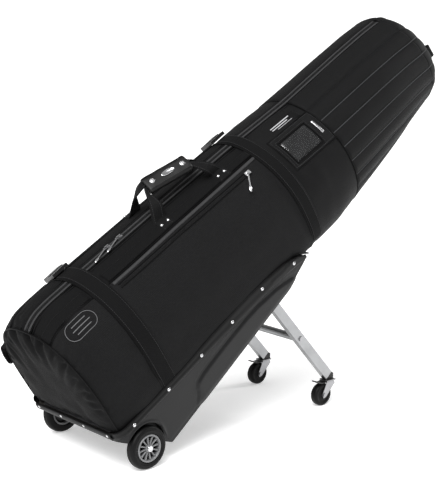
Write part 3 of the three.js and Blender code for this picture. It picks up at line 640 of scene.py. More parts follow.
# folds in the end cloth: from (y, w) to (y, w), depth and width
END_FOLDS = [(-60, 385, -48, 300, 7.5, 9), (-14, 372, -30, 318, 6, 8), (40, 378, 26, 300, 6.5, 10),
             (-112, 318, -70, 262, 5, 7), (-136, 250, -92, 214, 4, 7), (104, 320, 70, 262, 5, 8),
             (-146, 190, -98, 170, 3.5, 8), (-126, 282, -92, 246, 3.5, 5)]


def base_panel():
    """The puffed end: full in the middle, gathered into the piped seam round it."""
    low = abs(hem(BASE_U, 1))
    count, rings = 220, 30
    around = np.linspace(-low, low, count)
    edge = skin([BASE_U], [around])[0]
    bottom = np.linspace(edge[-1], edge[0], 60)[1:-1]
    edge = np.vstack([edge, bottom])
    centre = np.array([0, 0, 236.0])
    t = np.arange(len(edge))
    rows = []
    for i in range(rings):
        k = 1 - (i / (rings - 1)) ** 1.25 * 0.985
        p = centre + (edge - centre) * [0, k, k]
        depth = 13.5 * (1 - k ** 7)
        d = (1 - k) * 170
        pleat = np.sin(t * 0.62 + 2.2 * smooth_noise(t / 9, t * 0, 41))
        pleat = pleat * smooth_noise(t / 16, t * 0 + i / 9, 43)
        depth = depth + 5.5 * pleat * np.exp(-((d - 14) / 18) ** 2)
        for y0, w0, y1, w1, deep, wide in END_FOLDS:
            run, from_start = np.array([y1 - y0, w1 - w0]), p[:, 1:] - [y0, w0]
            done = np.clip(from_start @ run / (run @ run), 0, 1)
            off = np.linalg.norm(from_start - done[:, None] * run, axis=1)
            fade = np.clip(1.15 - done, 0, 1)
            depth = depth - fade * (deep * groove(off, wide) - 0.45 * deep * groove(off - 1.9 * wide, wide))
        depth = depth + 2.2 * smooth_noise(p[:, 1] / 60, p[:, 2] / 45, 47) * min(1, d / 30)
        depth = depth + 1.5 * smooth_noise(p[:, 1] / 24, p[:, 2] / 90, 49) * min(1, d / 30)
        notch = groove(p[:, 1] - ZIP_Y, 16) * groove(p[:, 2] - 372, 26)
        p[:, 0] = BASE_U - depth + 7 * notch
        rows.append(p)
    grid = np.array(rows)
    n, cols = grid.shape[:2]
    points = list(grid.reshape(-1, 3)) + [grid[-1].mean(0)]
    faces = grid_faces(n, cols, wrap=True)
    faces += [((n - 1) * cols + j, len(points) - 1, (n - 1) * cols + (j + 1) % cols) for j in range(cols)]
    uv = [(p[1] * MM, p[2] * MM) for p in points]
    obj = add_mesh("base_end", points, [f[::-1] for f in faces], CASE_CLOTH, uv=uv, slot="body_fabric")
    thicken(obj, 3)
    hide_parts("base_end_panel")
    path = skin([BASE_U - 1.5], [around])[0]
    path = centre + (path - centre) * [1, 1.004, 1.004]
    path[:, 0] = BASE_U - 1.5
    add_shapes("base_piping", [tube_shape(path, 2.1, 8)], PIPING, slot="webbing")


for where_, side_ in SIDES.items():
    lower_shell(where_, side_)
    barrel_shell(where_, side_)
dome()
base_panel()

# ---------- webbing, seams and zippers


def strip(name, us, s_low, s_high, lift, material, thickness=1.6, cols=9, **kw):
    """A flat strip on the case between two arc positions, with its edges rolled down."""
    rows = [np.linspace(s_low(u), s_high(u), cols) for u in us]
    grid = skin(us, rows)
    roll = np.ones(cols)
    roll[0] = roll[-1] = 0.35
    height = np.tile(lift * roll, (len(us), 1))
    height[0] = height[-1] = lift * 0.3
    return add_grid(name, raised(grid, height), material, thickness, **kw)


def line_on_skin(us, s_of, lift):
    """A line along the case at a height above it, and the ways out of the case there."""
    wide = skin(us, [[s_of(u) - 4, s_of(u), s_of(u) + 4] for u in us])
    out = normals(wide)[:, 1]
    return wide[:, 1] + out * lift, out


def seam_cord(name, us, s_of, radius, material, lift=0.0, **kw):
    path, out = line_on_skin(us, s_of, lift)
    return add_shapes(name, [tube_shape(path, radius, 8, up=out)], material, **kw)


def stitches(name, paths, material, length=3.2, pitch=5.0, radius=0.42, **kw):
    """Dashes of thread along sampled paths, each with its own outward direction."""
    shapes = []
    for points, out in paths:
        step = np.linalg.norm(np.diff(points, axis=0), axis=1)
        run = np.concatenate([[0], np.cumsum(step)])
        for at in np.arange(pitch / 2, run[-1], pitch):
            ends = [at - length / 2, at, at + length / 2]
            p = np.stack([np.interp(ends, run, points[:, k]) for k in range(3)], 1)
            o = np.stack([np.interp(ends, run, out[:, k]) for k in range(3)], 1)
            o /= np.linalg.norm(o, axis=1, keepdims=True)
            p = p + o * np.array([-0.15, 0.3, -0.15])[:, None]
            shapes.append(tube_shape(p, radius, 5, up=o))
    return add_shapes(name, shapes, material, **kw)


def ring_on_skin(u, s_values, lift):
    wide = skin([u - 4, u, u + 4], [s_values] * 3)
    out = normals(wide)[1]
    return wide[1] + out * lift, out


def flat_range(a, b, step):
    return np.linspace(a, b, max(2, int(abs(b - a) / step)))


def bands(where, side):
    """The dark webbing beside the zipper, its stitching and the seam below it."""
    inner = lambda u: arc_at_y(u, side * 58)
    outer = lambda u: pocket_seam(u, side) - side * 2.5
    runs = {"middle": flat_range(188, COLLAR_U - 1, 6), "end": flat_range(BASE_U + 1, 129, 6)}
    for part, us in runs.items():
        strip(f"band_{part}_{where}", us, inner, outer, 3.5, WEBBING, 1.8, slot="webbing")
        paths = [line_on_skin(us[1:-1], lambda u: inner(u) + side * 3, 2.5),
                 line_on_skin(us[1:-1], lambda u: outer(u) - side * 3, 2.5)]
        stitches(f"band_{part}_stitches_{where}", paths, THREAD, slot="webbing")
    full = flat_range(BASE_U + 1, COLLAR_U - 1, 6)
    seam_cord(f"panel_seam_{where}", full, lambda u: pocket_seam(u, side), 1.3, PIPING, 0.4, slot="webbing")
    us = flat_range(190, COLLAR_U - 4, 6)
    fold = lambda u, k: pocket_seam(u, side) + side * (3.2 + k)
    rows = [np.linspace(fold(u, 0), fold(u, 8.5), 9) for u in us]
    hump = 2.3 * np.sin(np.linspace(0.12, math.pi - 0.12, 9)) ** 0.7
    grid = raised(skin(us, rows), np.tile(hump, (len(us), 1)))
    add_grid(f"pocket_fold_{where}", grid, STRIP_CLOTH, 1.2, slot="body_fabric")


def zip_coil(name, us, s_of, lift, pitch, width, material, **kw):
    """Two rows of coil loops that meet in the middle."""
    centre, out = line_on_skin(us, s_of, lift)
    run = np.concatenate([[0], np.cumsum(np.linalg.norm(np.diff(centre, axis=0), axis=1))])
    shapes = []
    for i, at in enumerate(np.arange(pitch, run[-1] - pitch, pitch)):
        p = np.array([np.interp(at, run, centre[:, k]) for k in range(3)])
        q = np.array([np.interp(at + 1, run, centre[:, k]) for k in range(3)])
        o = np.array([np.interp(at, run, out[:, k]) for k in range(3)])
        along = (q - p) / np.linalg.norm(q - p)
        across = np.cross(o, along)
        shift = across * width * 0.22 * (1 if i % 2 else -1)
        shapes.append(block_shape(p + shift, along, across, o, (pitch * 0.62, width * 0.62, 1.5), 0.7))
    return add_shapes(name, shapes, material, **kw)


def main_zip():
    us = flat_range(BASE_U + 1, DOME_U - 1, 5)
    middle = lambda u: arc_at_y(u, ZIP_Y)
    tape = strip("main_zip_tape", us, lambda u: middle(u) - 10.5, lambda u: middle(u) + 10.5, 0.6,
                 ZIP_TAPE, 1.6, slot="zipper_tape")
    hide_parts("main_zipper")
    zip_coil("main_zip_coil", us, middle, 0.9, 2.4, 5.6, COIL, slot="zipper_tape")
    for k, where in ((-1, "near"), (1, "far")):
        strip(f"zip_flap_{where}", us, lambda u: middle(u) + k * 4.4, lambda u: middle(u) + k * 10.8, 1.9,
              STRIP_CLOTH, 1.1, cols=6, slot="zipper_tape")
        seam_cord(f"zip_edge_{where}", us, lambda u: middle(u) + k * (GROOVE + 0.4), 1.5, PIPING, -0.6,
                  slot="zipper_tape")
        seam_cord(f"zip_welt_{where}", us, lambda u: middle(u) + k * (GROOVE + 9), 1.0, PIPING, 0.4,
                  slot="zipper_tape")


def pocket(where, side):
    us = flat_range(196, 640, 5)
    middle = lambda u: pocket_zip(u, side)
    tape = strip(f"pocket_zip_tape_{where}", us, lambda u: middle(u) - 7, lambda u: middle(u) + 7, 1.0,
                 ZIP_TAPE, 1.4, slot="zipper_tape")
    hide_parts(f"pocket_zipper_{where}")
    zip_coil(f"pocket_zip_coil_{where}", us, middle, 1.5, 2.2, 4.6, COIL, slot="zipper_tape")
    for k in (-1, 1):
        tag = "upper" if k * side < 0 else "lower"
        seam_cord(f"pocket_{tag}_lip_{where}", us, lambda u: middle(u) + k * 5.2, 1.5, PIPING, 1.4,
                  slot="zipper_tape")


main_zip()
for where_, side_ in SIDES.items():
    bands(where_, side_)
    pocket(where_, side_)


# ---------- compression straps
def leaning(s, lean):
    """How far a strap leans towards the barrel near the top of the case."""
    return lean * max(0.0, math.cos(0.95 * s / 190)) ** 2


def over_zipper(s):
    """1 over the main zipper, where a strap stands higher, down to 0 beside it."""
    return np.clip(1 - abs(s + 8) / 62, 0, 1) ** 0.8


def strap_part(name, u0, u1, s_from, s_to, lean, replaced):
    ss = np.linspace(s_from, s_to, max(24, int(abs(s_to - s_from) / 5)))
    cols = 9
    grid = []
    for s in ss:
        grid.append(skin(np.linspace(u0, u1, cols) + leaning(s, lean), [[s]] * cols)[:, 0])
    grid = np.array(grid)[::-1] if s_to > s_from else np.array(grid)
    ss = ss[::-1] if s_to > s_from else ss
    rise = 1.6 + 3.2 * over_zipper(ss)
    roll = np.ones(cols)
    roll[0] = roll[-1] = 0.55
    grid = raised(grid, rise[:, None] * roll[None, :] + 0.5)
    strap = add_grid(name, grid, WEBBING, 2.0, slot="webbing")
    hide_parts(replaced)
    out = normals(grid)
    paths = [(grid[:, k] + out[:, k] * 0.1, out[:, k]) for k in (1, cols - 2)]
    stitches(f"{name}_stitches", paths, THREAD, slot="webbing")


def straps():
    for name, u0, u1, lean, low, edge in (("lower", 131, 176, 8, 123, 129.8),
                                          ("upper", 681, 717, 0, 100, 678.8)):
        mid = (u0 + u1) / 2
        end = abs(arc_at_level(mid, 1, low))
        strap_part(f"{name}_strap_long", u0, u1, -end, float(arc_at_y(mid, 46)), lean, f"{name}_strap_near")
        strap_part(f"{name}_strap_short", u0, u1, float(arc_at_y(mid, 95)), end, lean, f"{name}_strap_far")
        # a near-black cord along each strap's lower edge: partly piping, partly painted shadow cast by the
        # strap's edge onto the case
        s = np.linspace(-end, end, 150)
        row = np.array([skin([edge + leaning(x, lean)], [[x]])[0, 0] for x in s])
        out = row * [0, 1, 1] - [0, 0, 200]
        out /= np.linalg.norm(out, axis=1, keepdims=True)
        row = row + out * (0.9 + 2.6 * over_zipper(s))[:, None]
        add_shapes(f"{name}_strap_piping_and_shadow", [tube_shape(row, 1.7, 8, up=out)], PIPING, slot="webbing")


straps()
rib_s = np.linspace(-half_outline(RIB_U) + 1, half_outline(RIB_U) - 1, 220)
rib_path, rib_out = ring_on_skin(RIB_U, rib_s, -0.4)
add_shapes("rib_seam", [tube_shape(rib_path, 1.6, 8, up=rib_out)], PIPING, slot="webbing")


# ---------- carry handle
HANDLE_U, HANDLE_HALF, HANDLE_ANCHOR, HANDLE_LIFT = (390, 586), 19, 60, 4
HANDLE_RIVET = [(3.9, -1.5), (3.9, 0.2), (3.5, 1.0), (2.6, 1.7), (1.3, 2.1)]
GRIP_SNAP = [(6.6, -1), (6.6, 0.6), (6.0, 1.4), (4.4, 1.7), (3.6, 1.4), (2.2, 2.0)]
GRIP_FROM, GRIP_TO = np.array([424.0, -10, 446]), np.array([541.0, -28, 430])
GRIP_X = (GRIP_TO - GRIP_FROM) / np.linalg.norm(GRIP_TO - GRIP_FROM)
GRIP_Y = np.array([0, -0.85, -0.53])
GRIP_Y = GRIP_Y - GRIP_X * (GRIP_Y @ GRIP_X)
GRIP_Y /= np.linalg.norm(GRIP_Y)
GRIP_Z = np.cross(GRIP_X, GRIP_Y)
GRIP_UP = GRIP_Z if GRIP_Z[2] > 0 else -GRIP_Z
GRIP_LENGTH = np.linalg.norm(GRIP_TO - GRIP_FROM)


def spline(points, count):
    """A smooth curve through the points (Catmull-Rom)."""
    p = np.asarray(points, float)
    p = np.vstack([2 * p[0] - p[1], p, 2 * p[-1] - p[-2]])
    spans = len(p) - 3
    out = []
    for t in np.linspace(0, spans, count):
        i = min(int(t), spans - 1)
        f = t - i
        a, b, c, d = p[i:i + 4]
        out.append(0.5 * (2 * b + (c - a) * f + (2 * a - 5 * b + 4 * c - d) * f * f
                          + (3 * b - a - 3 * c + d) * f ** 3))
    return np.array(out)


def carry_loop(where, side):
    y0 = -9 + side * HANDLE_ANCHOR
    surface = lambda u, y: skin([u], [[arc_at_y(u, y)]])[0, 0] + np.array([0, 0, HANDLE_LIFT])

    def rise(u, end, inward):
        inside = lambda along: end + GRIP_X * along - GRIP_Y * side * 9.6
        entry, base = inside(inward * -5), surface(u, y0 - side * 16)
        middle = (base + entry) / 2 + np.array([0, side * 12, 4])
        return [surface(u, y0 + side * 12), surface(u, y0 - side * 4), base, middle, entry,
                inside(inward * 12)]

    points = rise(HANDLE_U[0], GRIP_FROM, 1) + rise(HANDLE_U[1], GRIP_TO, -1)[::-1]
    turn = [0, 0, 0, 0.4, 0.92, 1]
    halves = []
    for i in range(len(points)):
        k = min(i, len(points) - 1 - i)
        way = -1 if i < len(points) / 2 else 1
        h = np.array([way * side, 0.0, 0.0]) * (1 - turn[k]) + GRIP_Y * turn[k]
        size = HANDLE_HALF + (8.4 - HANDLE_HALF) * turn[k]
        halves.append(h / np.linalg.norm(h) * size)
    path, across = spline(points, 90), spline(halves, 90)
    cols = np.linspace(-1, 1, 7)
    grid = path[:, None] + across[:, None] * cols[None, :, None]
    n = normals(grid)
    grid = grid + n * (0.5 * (1 - cols ** 4))[None, :, None]
    loop = add_grid(f"handle_webbing_{where}", grid, DARK_WEBBING, 2.4, slot="webbing")
    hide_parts(f"carry_loop_{where}")
    rows = []
    for k in (1, 5):
        rows.append((grid[:, k], n[:, k] * (1 if (n[10, 3] @ np.array([0, side, 1.0])) > 0 else -1)))
    stitches(f"handle_stitches_{where}", rows, THREAD, slot="webbing")
    # two rivets hold each foot
    shapes = []
    for u in HANDLE_U:
        for du in (-10, 11):
            y = side * 67 if u < 480 else side * 65
            s = arc_at_y(u + du, y)
            p, out = line_on_skin([u + du - 3, u + du, u + du + 3], lambda x: s, 4.2)
            shapes.append(button_shape(p[1], out[1], HANDLE_RIVET))
    add_shapes(f"handle_rivets_{where}", shapes, SILVER, slot="bright_metal")
    for tag, u in zip(("low", "high"), HANDLE_U):
        inner, outer = side * 46, side * 80
        us = np.linspace(u - 19, u + 19, 7)
        strip(f"handle_foot_{tag}_{where}", us, lambda v: arc_at_y(v, inner), lambda v: arc_at_y(v, outer),
              4.0, DARK_WEBBING, 1.8, cols=8, slot="webbing")


def grip():
    """The padded wrap: a rounded sleeve closed by two snaps, with a plain oval badge."""
    rows, cols = 40, 44
    x = np.linspace(-1, GRIP_LENGTH + 1, rows)
    t = np.linspace(0, 2 * math.pi, cols, endpoint=False)
    grid = np.empty((rows, cols, 3))
    for i, along in enumerate(x):
        end = min(along + 1, GRIP_LENGTH + 1 - along)
        full = 0.9 + 0.1 * min(1, end / 6) ** 0.5
        puff = 0.9 * smooth_noise(t * 2, t * 0 + along / 17, 51)
        half_y, half_z = 22.6 * full, 9.6 * full
        e = 2 / 3.4
        y = np.sign(np.cos(t)) * np.abs(np.cos(t)) ** e * (half_y + puff)
        z = np.sign(np.sin(t)) * np.abs(np.sin(t)) ** e * (half_z + puff * 0.6)
        z = z + 0.8 * math.sin(along / GRIP_LENGTH * math.pi)
        grid[i] = GRIP_FROM + GRIP_X * along + y[:, None] * GRIP_Y + z[:, None] * GRIP_Z
    points = grid.reshape(-1, 3)
    inner = GRIP_FROM + (points - GRIP_FROM - np.outer((points - GRIP_FROM) @ GRIP_X, GRIP_X)) * 0.78
    inner = inner + np.outer((points - GRIP_FROM) @ GRIP_X, GRIP_X)
    faces = [f[::-1] for f in grid_faces(rows, cols, wrap=True)]
    base = rows * cols
    faces += [tuple(base + k for k in f[::-1]) for f in faces]
    for j in range(cols):
        k = (j + 1) % cols
        faces.append((j, k, base + k, base + j))
        end = (rows - 1) * cols
        faces.append((end + k, end + j, base + end + j, base + end + k))
    sleeve = recalc(add_mesh("grip_wrap", np.vstack([points, inner]), faces, GRIP_SKIN, slot="grip_rubber"))
    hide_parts("carry_grip")
    top = lambda along, across, lift: GRIP_FROM + GRIP_X * along + GRIP_Y * across + GRIP_UP * (10.3 + lift)
    snaps = [button_shape(top(a, 1, 0), GRIP_UP, GRIP_SNAP, 24) for a in (17, GRIP_LENGTH - 16)]
    add_shapes("grip_snaps", snaps, SILVER, slot="bright_metal")
    # plain oval badge: a raised rim round a brushed field
    oval = []
    for scale, lift in ((1, -0.6), (1, 0.7), (0.93, 1.1), (0.84, 1.1), (0.8, 0.5)):
        oval.append([top(GRIP_LENGTH * 0.52 + 19 * scale * math.cos(a), 1 + 6.8 * scale * math.sin(a), lift)
                     for a in np.linspace(0, 2 * math.pi, 40, endpoint=False)])
    points = [p for row in oval for p in row] + [top(GRIP_LENGTH * 0.52, 1, 0.5)]
    faces = grid_faces(len(oval), 40, wrap=True)
    faces += [(160 + j, 160 + (j + 1) % 40, len(points) - 1) for j in range(40)]
    faces.append(tuple(range(39, -1, -1)))
    recalc(add_mesh("grip_badge", points, faces, SILVER, slot="bright_metal"))
    # the wrap's closing edge and its stitching
    edge = np.array([top(a, -16.5, -0.4 + 0.8 * math.sin(a / GRIP_LENGTH * math.pi)) for a in
                     np.linspace(2, GRIP_LENGTH - 2, 40)])
    add_shapes("grip_edge", [tube_shape(edge, 1.1, 6)], PIPING, slot="grip_rubber")
    out = np.tile(GRIP_UP, (40, 1))
    paths = [(edge + GRIP_Y * 3, out), (edge + GRIP_Y * 34, out)]
    stitches("grip_stitches", paths, THREAD, slot="grip_rubber")


for where_, side_ in SIDES.items():
    carry_loop(where_, side_)
grip()


# ---------- card pocket, label and side mark
def skin_patch(u0, u1, ya, yb, lift, rows=14, cols=12):
    """A raised patch with rolled edges, between two y values."""
    us = np.linspace(u0, u1, rows)
    sa, sb = arc_at_y((u0 + u1) / 2, ya), arc_at_y((u0 + u1) / 2, yb)
    ss = np.linspace(sa, sb, cols)
    grid = skin(us, [ss] * rows)
    edge = np.ones((rows, cols))
    edge[0] = edge[-1] = 0.3
    edge[:, 0] = edge[:, -1] = 0.3
    return raised(grid, lift * edge)


def card_pocket():
    outer = skin_patch(731, 879, -81, -147, 2.4, 34, 26)
    inner_u, inner_y = (747, 843), (-97, -141)
    frame_piece = add_grid("card_frame_cloth", outer, PANEL_CLOTH, 1.6, slot="webbing")
    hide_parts("card_frame")
    window = skin_patch(*inner_u, *inner_y, 3.6, 16, 12)
    add_grid("card_window", window, VINYL, 0.6, slot="webbing")
    card = skin_patch(inner_u[0] + 2, inner_u[1] - 2, inner_y[0] - 2, inner_y[1] + 2, 2.9, 8, 8)
    add_grid("card_backing", card, CASE_CLOTH, 0.4, slot="webbing")

    def outline(u0, u1, ya, yb, lift):
        sa, sb = arc_at_y((u0 + u1) / 2, ya), arc_at_y((u0 + u1) / 2, yb)
        loop = [(u, sa) for u in np.linspace(u0, u1, 24)]
        loop += [(u1, s) for s in np.linspace(sa, sb, 14)[1:]]
        loop += [(u, sb) for u in np.linspace(u1, u0, 24)[1:]]
        loop += [(u0, s) for s in np.linspace(sb, sa, 14)[1:]]
        return on_skin(loop, lift)

    for name, args, radius, material in (
            ("card_window_binding", (*inner_u, *inner_y, 3.4), 1.9, PIPING),
            ("card_frame_binding", (731, 879, -81, -147, 1.6), 1.5, PIPING)):
        pts, outs = outline(*args)
        add_shapes(name, [tube_shape(pts, radius, 8, up=outs)], material, slot="webbing")
    pts, outs = outline(735, 875, -85, -144, 2.6)
    inner = outline(742, 848, -93, -144.5, 2.9)
    stitches("card_frame_stitches", [(pts, outs), inner], THREAD, slot="webbing")
    # a plain metal bar on the frame's upper strip
    us = np.linspace(858, 865, 5)
    ss = np.linspace(arc_at_y(860, -103), arc_at_y(860, -132), 16)
    bar = raised(skin(us, [ss] * 5), np.array([[1.6] + [3.3] * 14 + [1.6]] + [[1.6] + [3.9] * 14 + [1.6]] * 3
                                              + [[1.6] + [3.3] * 14 + [1.6]]))
    add_grid("card_frame_bar", bar, SILVER, 1.0, slot="bright_metal")


def label():
    """A woven label with three plain bars."""
    add_grid("label_patch", skin_patch(752, 862, -50, -79, 1.7, 20, 10), CASE_CLOTH, 1.0, slot="webbing")
    shapes = []
    for y, u0, u1, radius in ((-60, 772, 838, 1.7), (-66, 772, 826, 1.5), (-71.5, 786, 838, 0.7)):
        us = np.linspace(u0, u1, 24)
        path, out = line_on_skin(us, lambda u, y=y: arc_at_y(800, y), 2.4)
        shapes.append(tube_shape(path, radius, 8, flat=0.4, up=out))
    add_shapes("label_bars", shapes, PALE_THREAD, slot="webbing")


MARK_LIFT = 3.2


def side_mark():
    """Plain embroidery on the end panel: a long rounded outline round three bars."""
    u0, u1, s0, s1 = 26, 108, arc_at_y(66, -92), arc_at_y(66, -122)
    radius = abs(s1 - s0) / 2
    mid = (s0 + s1) / 2
    loop = []
    for a in np.linspace(-math.pi / 2, math.pi / 2, 16):
        loop.append((u1 - radius + radius * math.cos(a), mid + radius * math.sin(a)))
    for a in np.linspace(math.pi / 2, 3 * math.pi / 2, 16):
        loop.append((u0 + radius + radius * math.cos(a), mid + radius * math.sin(a)))
    loop.append(loop[0])
    dense = []
    for (ua, sa), (ub, sb) in zip(loop, loop[1:]):
        dense += [(ua + (ub - ua) * t, sa + (sb - sa) * t) for t in np.linspace(0, 1, 5)[:-1]]
    dense.append(dense[0])
    pts, outs = on_skin(dense, MARK_LIFT)
    shapes = [tube_shape(pts, 0.7, 6, flat=0.8, up=outs)]
    for k in (-1, 0, 1):
        span = 26 - 5 * abs(k)
        bar = [(u, mid + k * radius * 0.48) for u in np.linspace(68 - span, 68 + span, 20)]
        pts, outs = on_skin(bar, MARK_LIFT)
        shapes.append(tube_shape(pts, 1.1, 6, flat=0.7, up=outs))
    add_shapes("side_mark", shapes, MARK_THREAD, slot="webbing")


card_pocket()
label()
side_mark()


# ---------- end loops
def end_loop(name, foot0, foot1, reach, half, replaced):
    foot0, foot1, reach, half = (np.array(v, float) for v in (foot0, foot1, reach, half))
    middle = (foot0 + foot1) / 2 + reach
    path = spline([foot0, foot0 + reach * 0.7, middle, foot1 + reach * 0.7, foot1], 50)
    cols = np.linspace(-1, 1, 7)
    grid = path[:, None] + half * cols[None, :, None]
    loop = add_grid(name, grid + normals(grid) * 1.0, WEBBING, 2.2, slot="webbing")
    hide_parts(replaced)
    n = normals(grid)
    paths = [(grid[:, k] + n[:, k] * 1.1, n[:, k]) for k in (1, 5)]
    stitches(f"{name}_stitches", paths, THREAD, slot="webbing")


end_loop("base_side_loop", (-6, 148.5, 292), (-6, 162.5, 240), (-3, 15.5, 2), (8, 2.5, 0), "base_loop")
end_loop("barrel_tab", (1326, -76, 208), (1322.5, -86, 208), (19, -2, 0), (-3, 0, 17), "barrel_loop")


# ---------- skid
SKID_HALF, SKID_DRAFT = 170.5, math.tan(math.radians(8))
AXLE_U, AXLE_W, WELL_R = 26.1, 42.6, 57
BOTTOM = [(-23, 104), (60, 28), (91, -11.5), (552, 57), (566, 62), (590, 72.5), (612, 81), (632, 89.5),
          (638, 94)]
TOP = [(-23, 118), (588, 118), (612, 108), (638, 94)]
LEDGE_US = [180, 205, 209, 215, 238, 290, 335, 400, 450, 515, 545, 575, 600]
LEDGE_WS = [0, 32, 52, 62, 71, 80, 86, 93.5, 95, 90, 84, 76, 60]
CORNER_U, CORNER_R = 7.5, 30.5


def corner_in(u):
    """How far the rounded corner at the base end draws the side in."""
    d = max(0.0, CORNER_U - u)
    return CORNER_R - math.sqrt(max(0.0, CORNER_R ** 2 - d * d))


def skid_side(where, side):
    """The side of the moulding: a bulge with a ledge rises along it towards the toe."""
    us = np.unique(np.concatenate([np.linspace(-22.8, -8, 14), np.linspace(-8, 90, 66),
                                   np.linspace(90, 600, 150), np.linspace(600, 637, 18)]))
    rows = 46
    bottom = np.interp(us, *zip(*BOTTOM))
    arch_r = WELL_R + 1.5
    inside = np.abs(us - AXLE_U) < arch_r
    arch = AXLE_W + np.sqrt(np.maximum(0, arch_r ** 2 - (us - AXLE_U) ** 2))
    bottom = np.where(inside, np.maximum(bottom, arch), bottom)
    top = np.interp(us, *zip(*TOP))
    t = np.linspace(0, 1, rows)
    grid = np.empty((len(us), rows, 3))
    ledge = np.interp(us, LEDGE_US, LEDGE_WS)
    for i, u in enumerate(us):
        w = bottom[i] + (top[i] - bottom[i]) * t
        fade = min(1, max(0, (u - 186) / 30))
        step = 1 / (1 + np.exp((w - ledge[i]) / 1.5))
        bulge = 4.2 * step * fade
        shallow = 1.1 * groove(w - ledge[i] - 7, 4.5) * fade
        low_edge = 2.4 * groove(w - bottom[i], 7) * (0 if inside[i] else 1)
        lip = 2.0 * groove(np.hypot(u - AXLE_U, w - AXLE_W) - WELL_R - 3, 4)
        y = SKID_HALF + 0.5 - (RIM_W - w) * SKID_DRAFT + bulge - shallow - low_edge + lip
        y = y - corner_in(u)
        grid[i] = np.stack([np.full(rows, u), side * y, w], 1)
    # turn the lower edge in under the skid
    tucked = grid[:, :1].copy()
    tucked[:, 0, 1] -= side * 5
    tucked[:, 0, 2] += np.where(inside, 0.5, -0.6)
    grid = np.concatenate([tucked, grid], 1)
    if side > 0:
        grid = grid[:, ::-1]
    add_grid(f"skid_side_{where}", grid, SKID_PLASTIC, 1.2, slot="skid_plastic")


FLANGE_US = [-20, 100, 200, 300, 400, 435, 490, 560, 600, 618, 634]
FLANGE_TOP = [128, 128, 130, 137, 140, 140.5, 138, 130, 119, 110, 100]
FLANGE_LOW = [109.5, 109.5, 109, 106, 102, 101, 101, 99, 96, 93, 91]
RIVET_US = [25, 140, 253, 365, 478, 590]
RIVET_WS = [118, 118, 118, 121.5, 126, 110.5]


def flange(where, side):
    """The dark band that grips the cloth along the skid's rim, with its rivets."""
    us = np.concatenate([np.linspace(-22.6, -8, 14), np.linspace(-6, 560, 146), np.linspace(564, 634, 28)])
    rows = 9
    grid = np.empty((len(us), rows, 3))
    for i, u in enumerate(us):
        top, low = np.interp(u, FLANGE_US, FLANGE_TOP), np.interp(u, FLANGE_US, FLANGE_LOW)
        w = np.linspace(low, top, rows)
        length, ys, ws = ring(round(float(min(u, 600)), 2))
        part = slice(720, 1441)
        case_y = np.interp(-w, -ws[part], ys[part])
        skid_y = SKID_HALF + 0.5 - (RIM_W - w) * SKID_DRAFT
        y = np.where(w > RIM_W, np.maximum(case_y, SKID_HALF - 1), np.maximum(skid_y, 0))
        y = y + 2.4 - corner_in(u)
        y[0] -= 1.8
        y[-1] -= 1.9
        grid[i] = np.stack([np.full(rows, u), side * y, w], 1)
    if side > 0:
        grid = grid[:, ::-1]
    add_grid(f"skid_flange_{where}", grid, FLANGE_PLASTIC, 1.6, slot="skid_plastic")
    shapes = []
    profile = [(4.3, -1.5), (4.3, 0.5), (3.9, 1.3), (2.9, 2.0), (1.4, 2.4)]
    for u, w in zip(RIVET_US, RIVET_WS):
        shapes.append(button_shape(np.array([u, side * (SKID_HALF + 2.2), w]), (0, side, 0.05), profile, 20))
    add_shapes(f"skid_rivets_{where}", shapes, SILVER, slot="bright_metal")
    # binding along the flange's upper edge
    edge = grid[:, -1] if side < 0 else grid[:, 0]
    add_shapes(f"skid_binding_{where}", [tube_shape(edge, 1.5, 8)], PIPING, slot="webbing")


def skid_end():
    """The moulded lip across the base end, and its rivets."""
    ys = np.linspace(-144, 144, 90)
    profile = [(-22.2, 124.5), (-24.6, 123), (-25.2, 117), (-25.0, 111), (-23.6, 108)]
    grid = np.array([[(u, y, w) for u, w in profile] for y in ys])
    add_grid("skid_end_lip", grid, FLANGE_PLASTIC, 1.6, slot="skid_plastic")
    shapes = [button_shape(np.array([-25.2, y, 118.5]), np.array([-1.0, 0, 0]),
                           [(4.2, -1.5), (4.2, 0.5), (3.8, 1.3), (2.8, 2.0), (1.4, 2.4)], 20)
              for y in (-131.5, -43.9, 43.9, 131.5)]
    add_shapes("skid_end_rivets", shapes, SILVER, slot="bright_metal")


for where_, side_ in SIDES.items():
    skid_side(where_, side_)
    flange(where_, side_)
skid_end()


# ---------- wheels
def turned_profile(name, body, centre, profile, material, segments):
    """A closed shape turned about a y axis through centre, from (radius, y) pairs in mm."""
    angle = np.arange(segments) * 2 * math.pi / segments
    points = []
    for r, y in profile:
        points += [(centre[0] + r * math.cos(t) * MM, y * MM, centre[2] + r * math.sin(t) * MM)
                   for t in angle]
    rows = len(profile)
    faces = []
    for i in range(rows):
        for j in range(segments):
            a, b = i * segments + j, i * segments + (j + 1) % segments
            c, d = ((i + 1) % rows) * segments + (j + 1) % segments, ((i + 1) % rows) * segments + j
            faces.append((a, b, c, d))
    return row_mesh(name, points, faces, material, body)


def row_mesh(name, points, faces, material, body):
    mesh = bpy.data.meshes.new(name)
    mesh.from_pydata([tuple(p) for p in points], [], faces)
    mesh.polygons.foreach_set("use_smooth", [True] * len(mesh.polygons))
    mesh.materials.append(material)
    obj = bpy.data.objects.new(name, mesh)
    bpy.context.scene.collection.objects.link(obj)
    recalc(obj)
    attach(obj, body)
    return obj


def middle_of(name):
    low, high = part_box(name)
    return (low + high) / 2


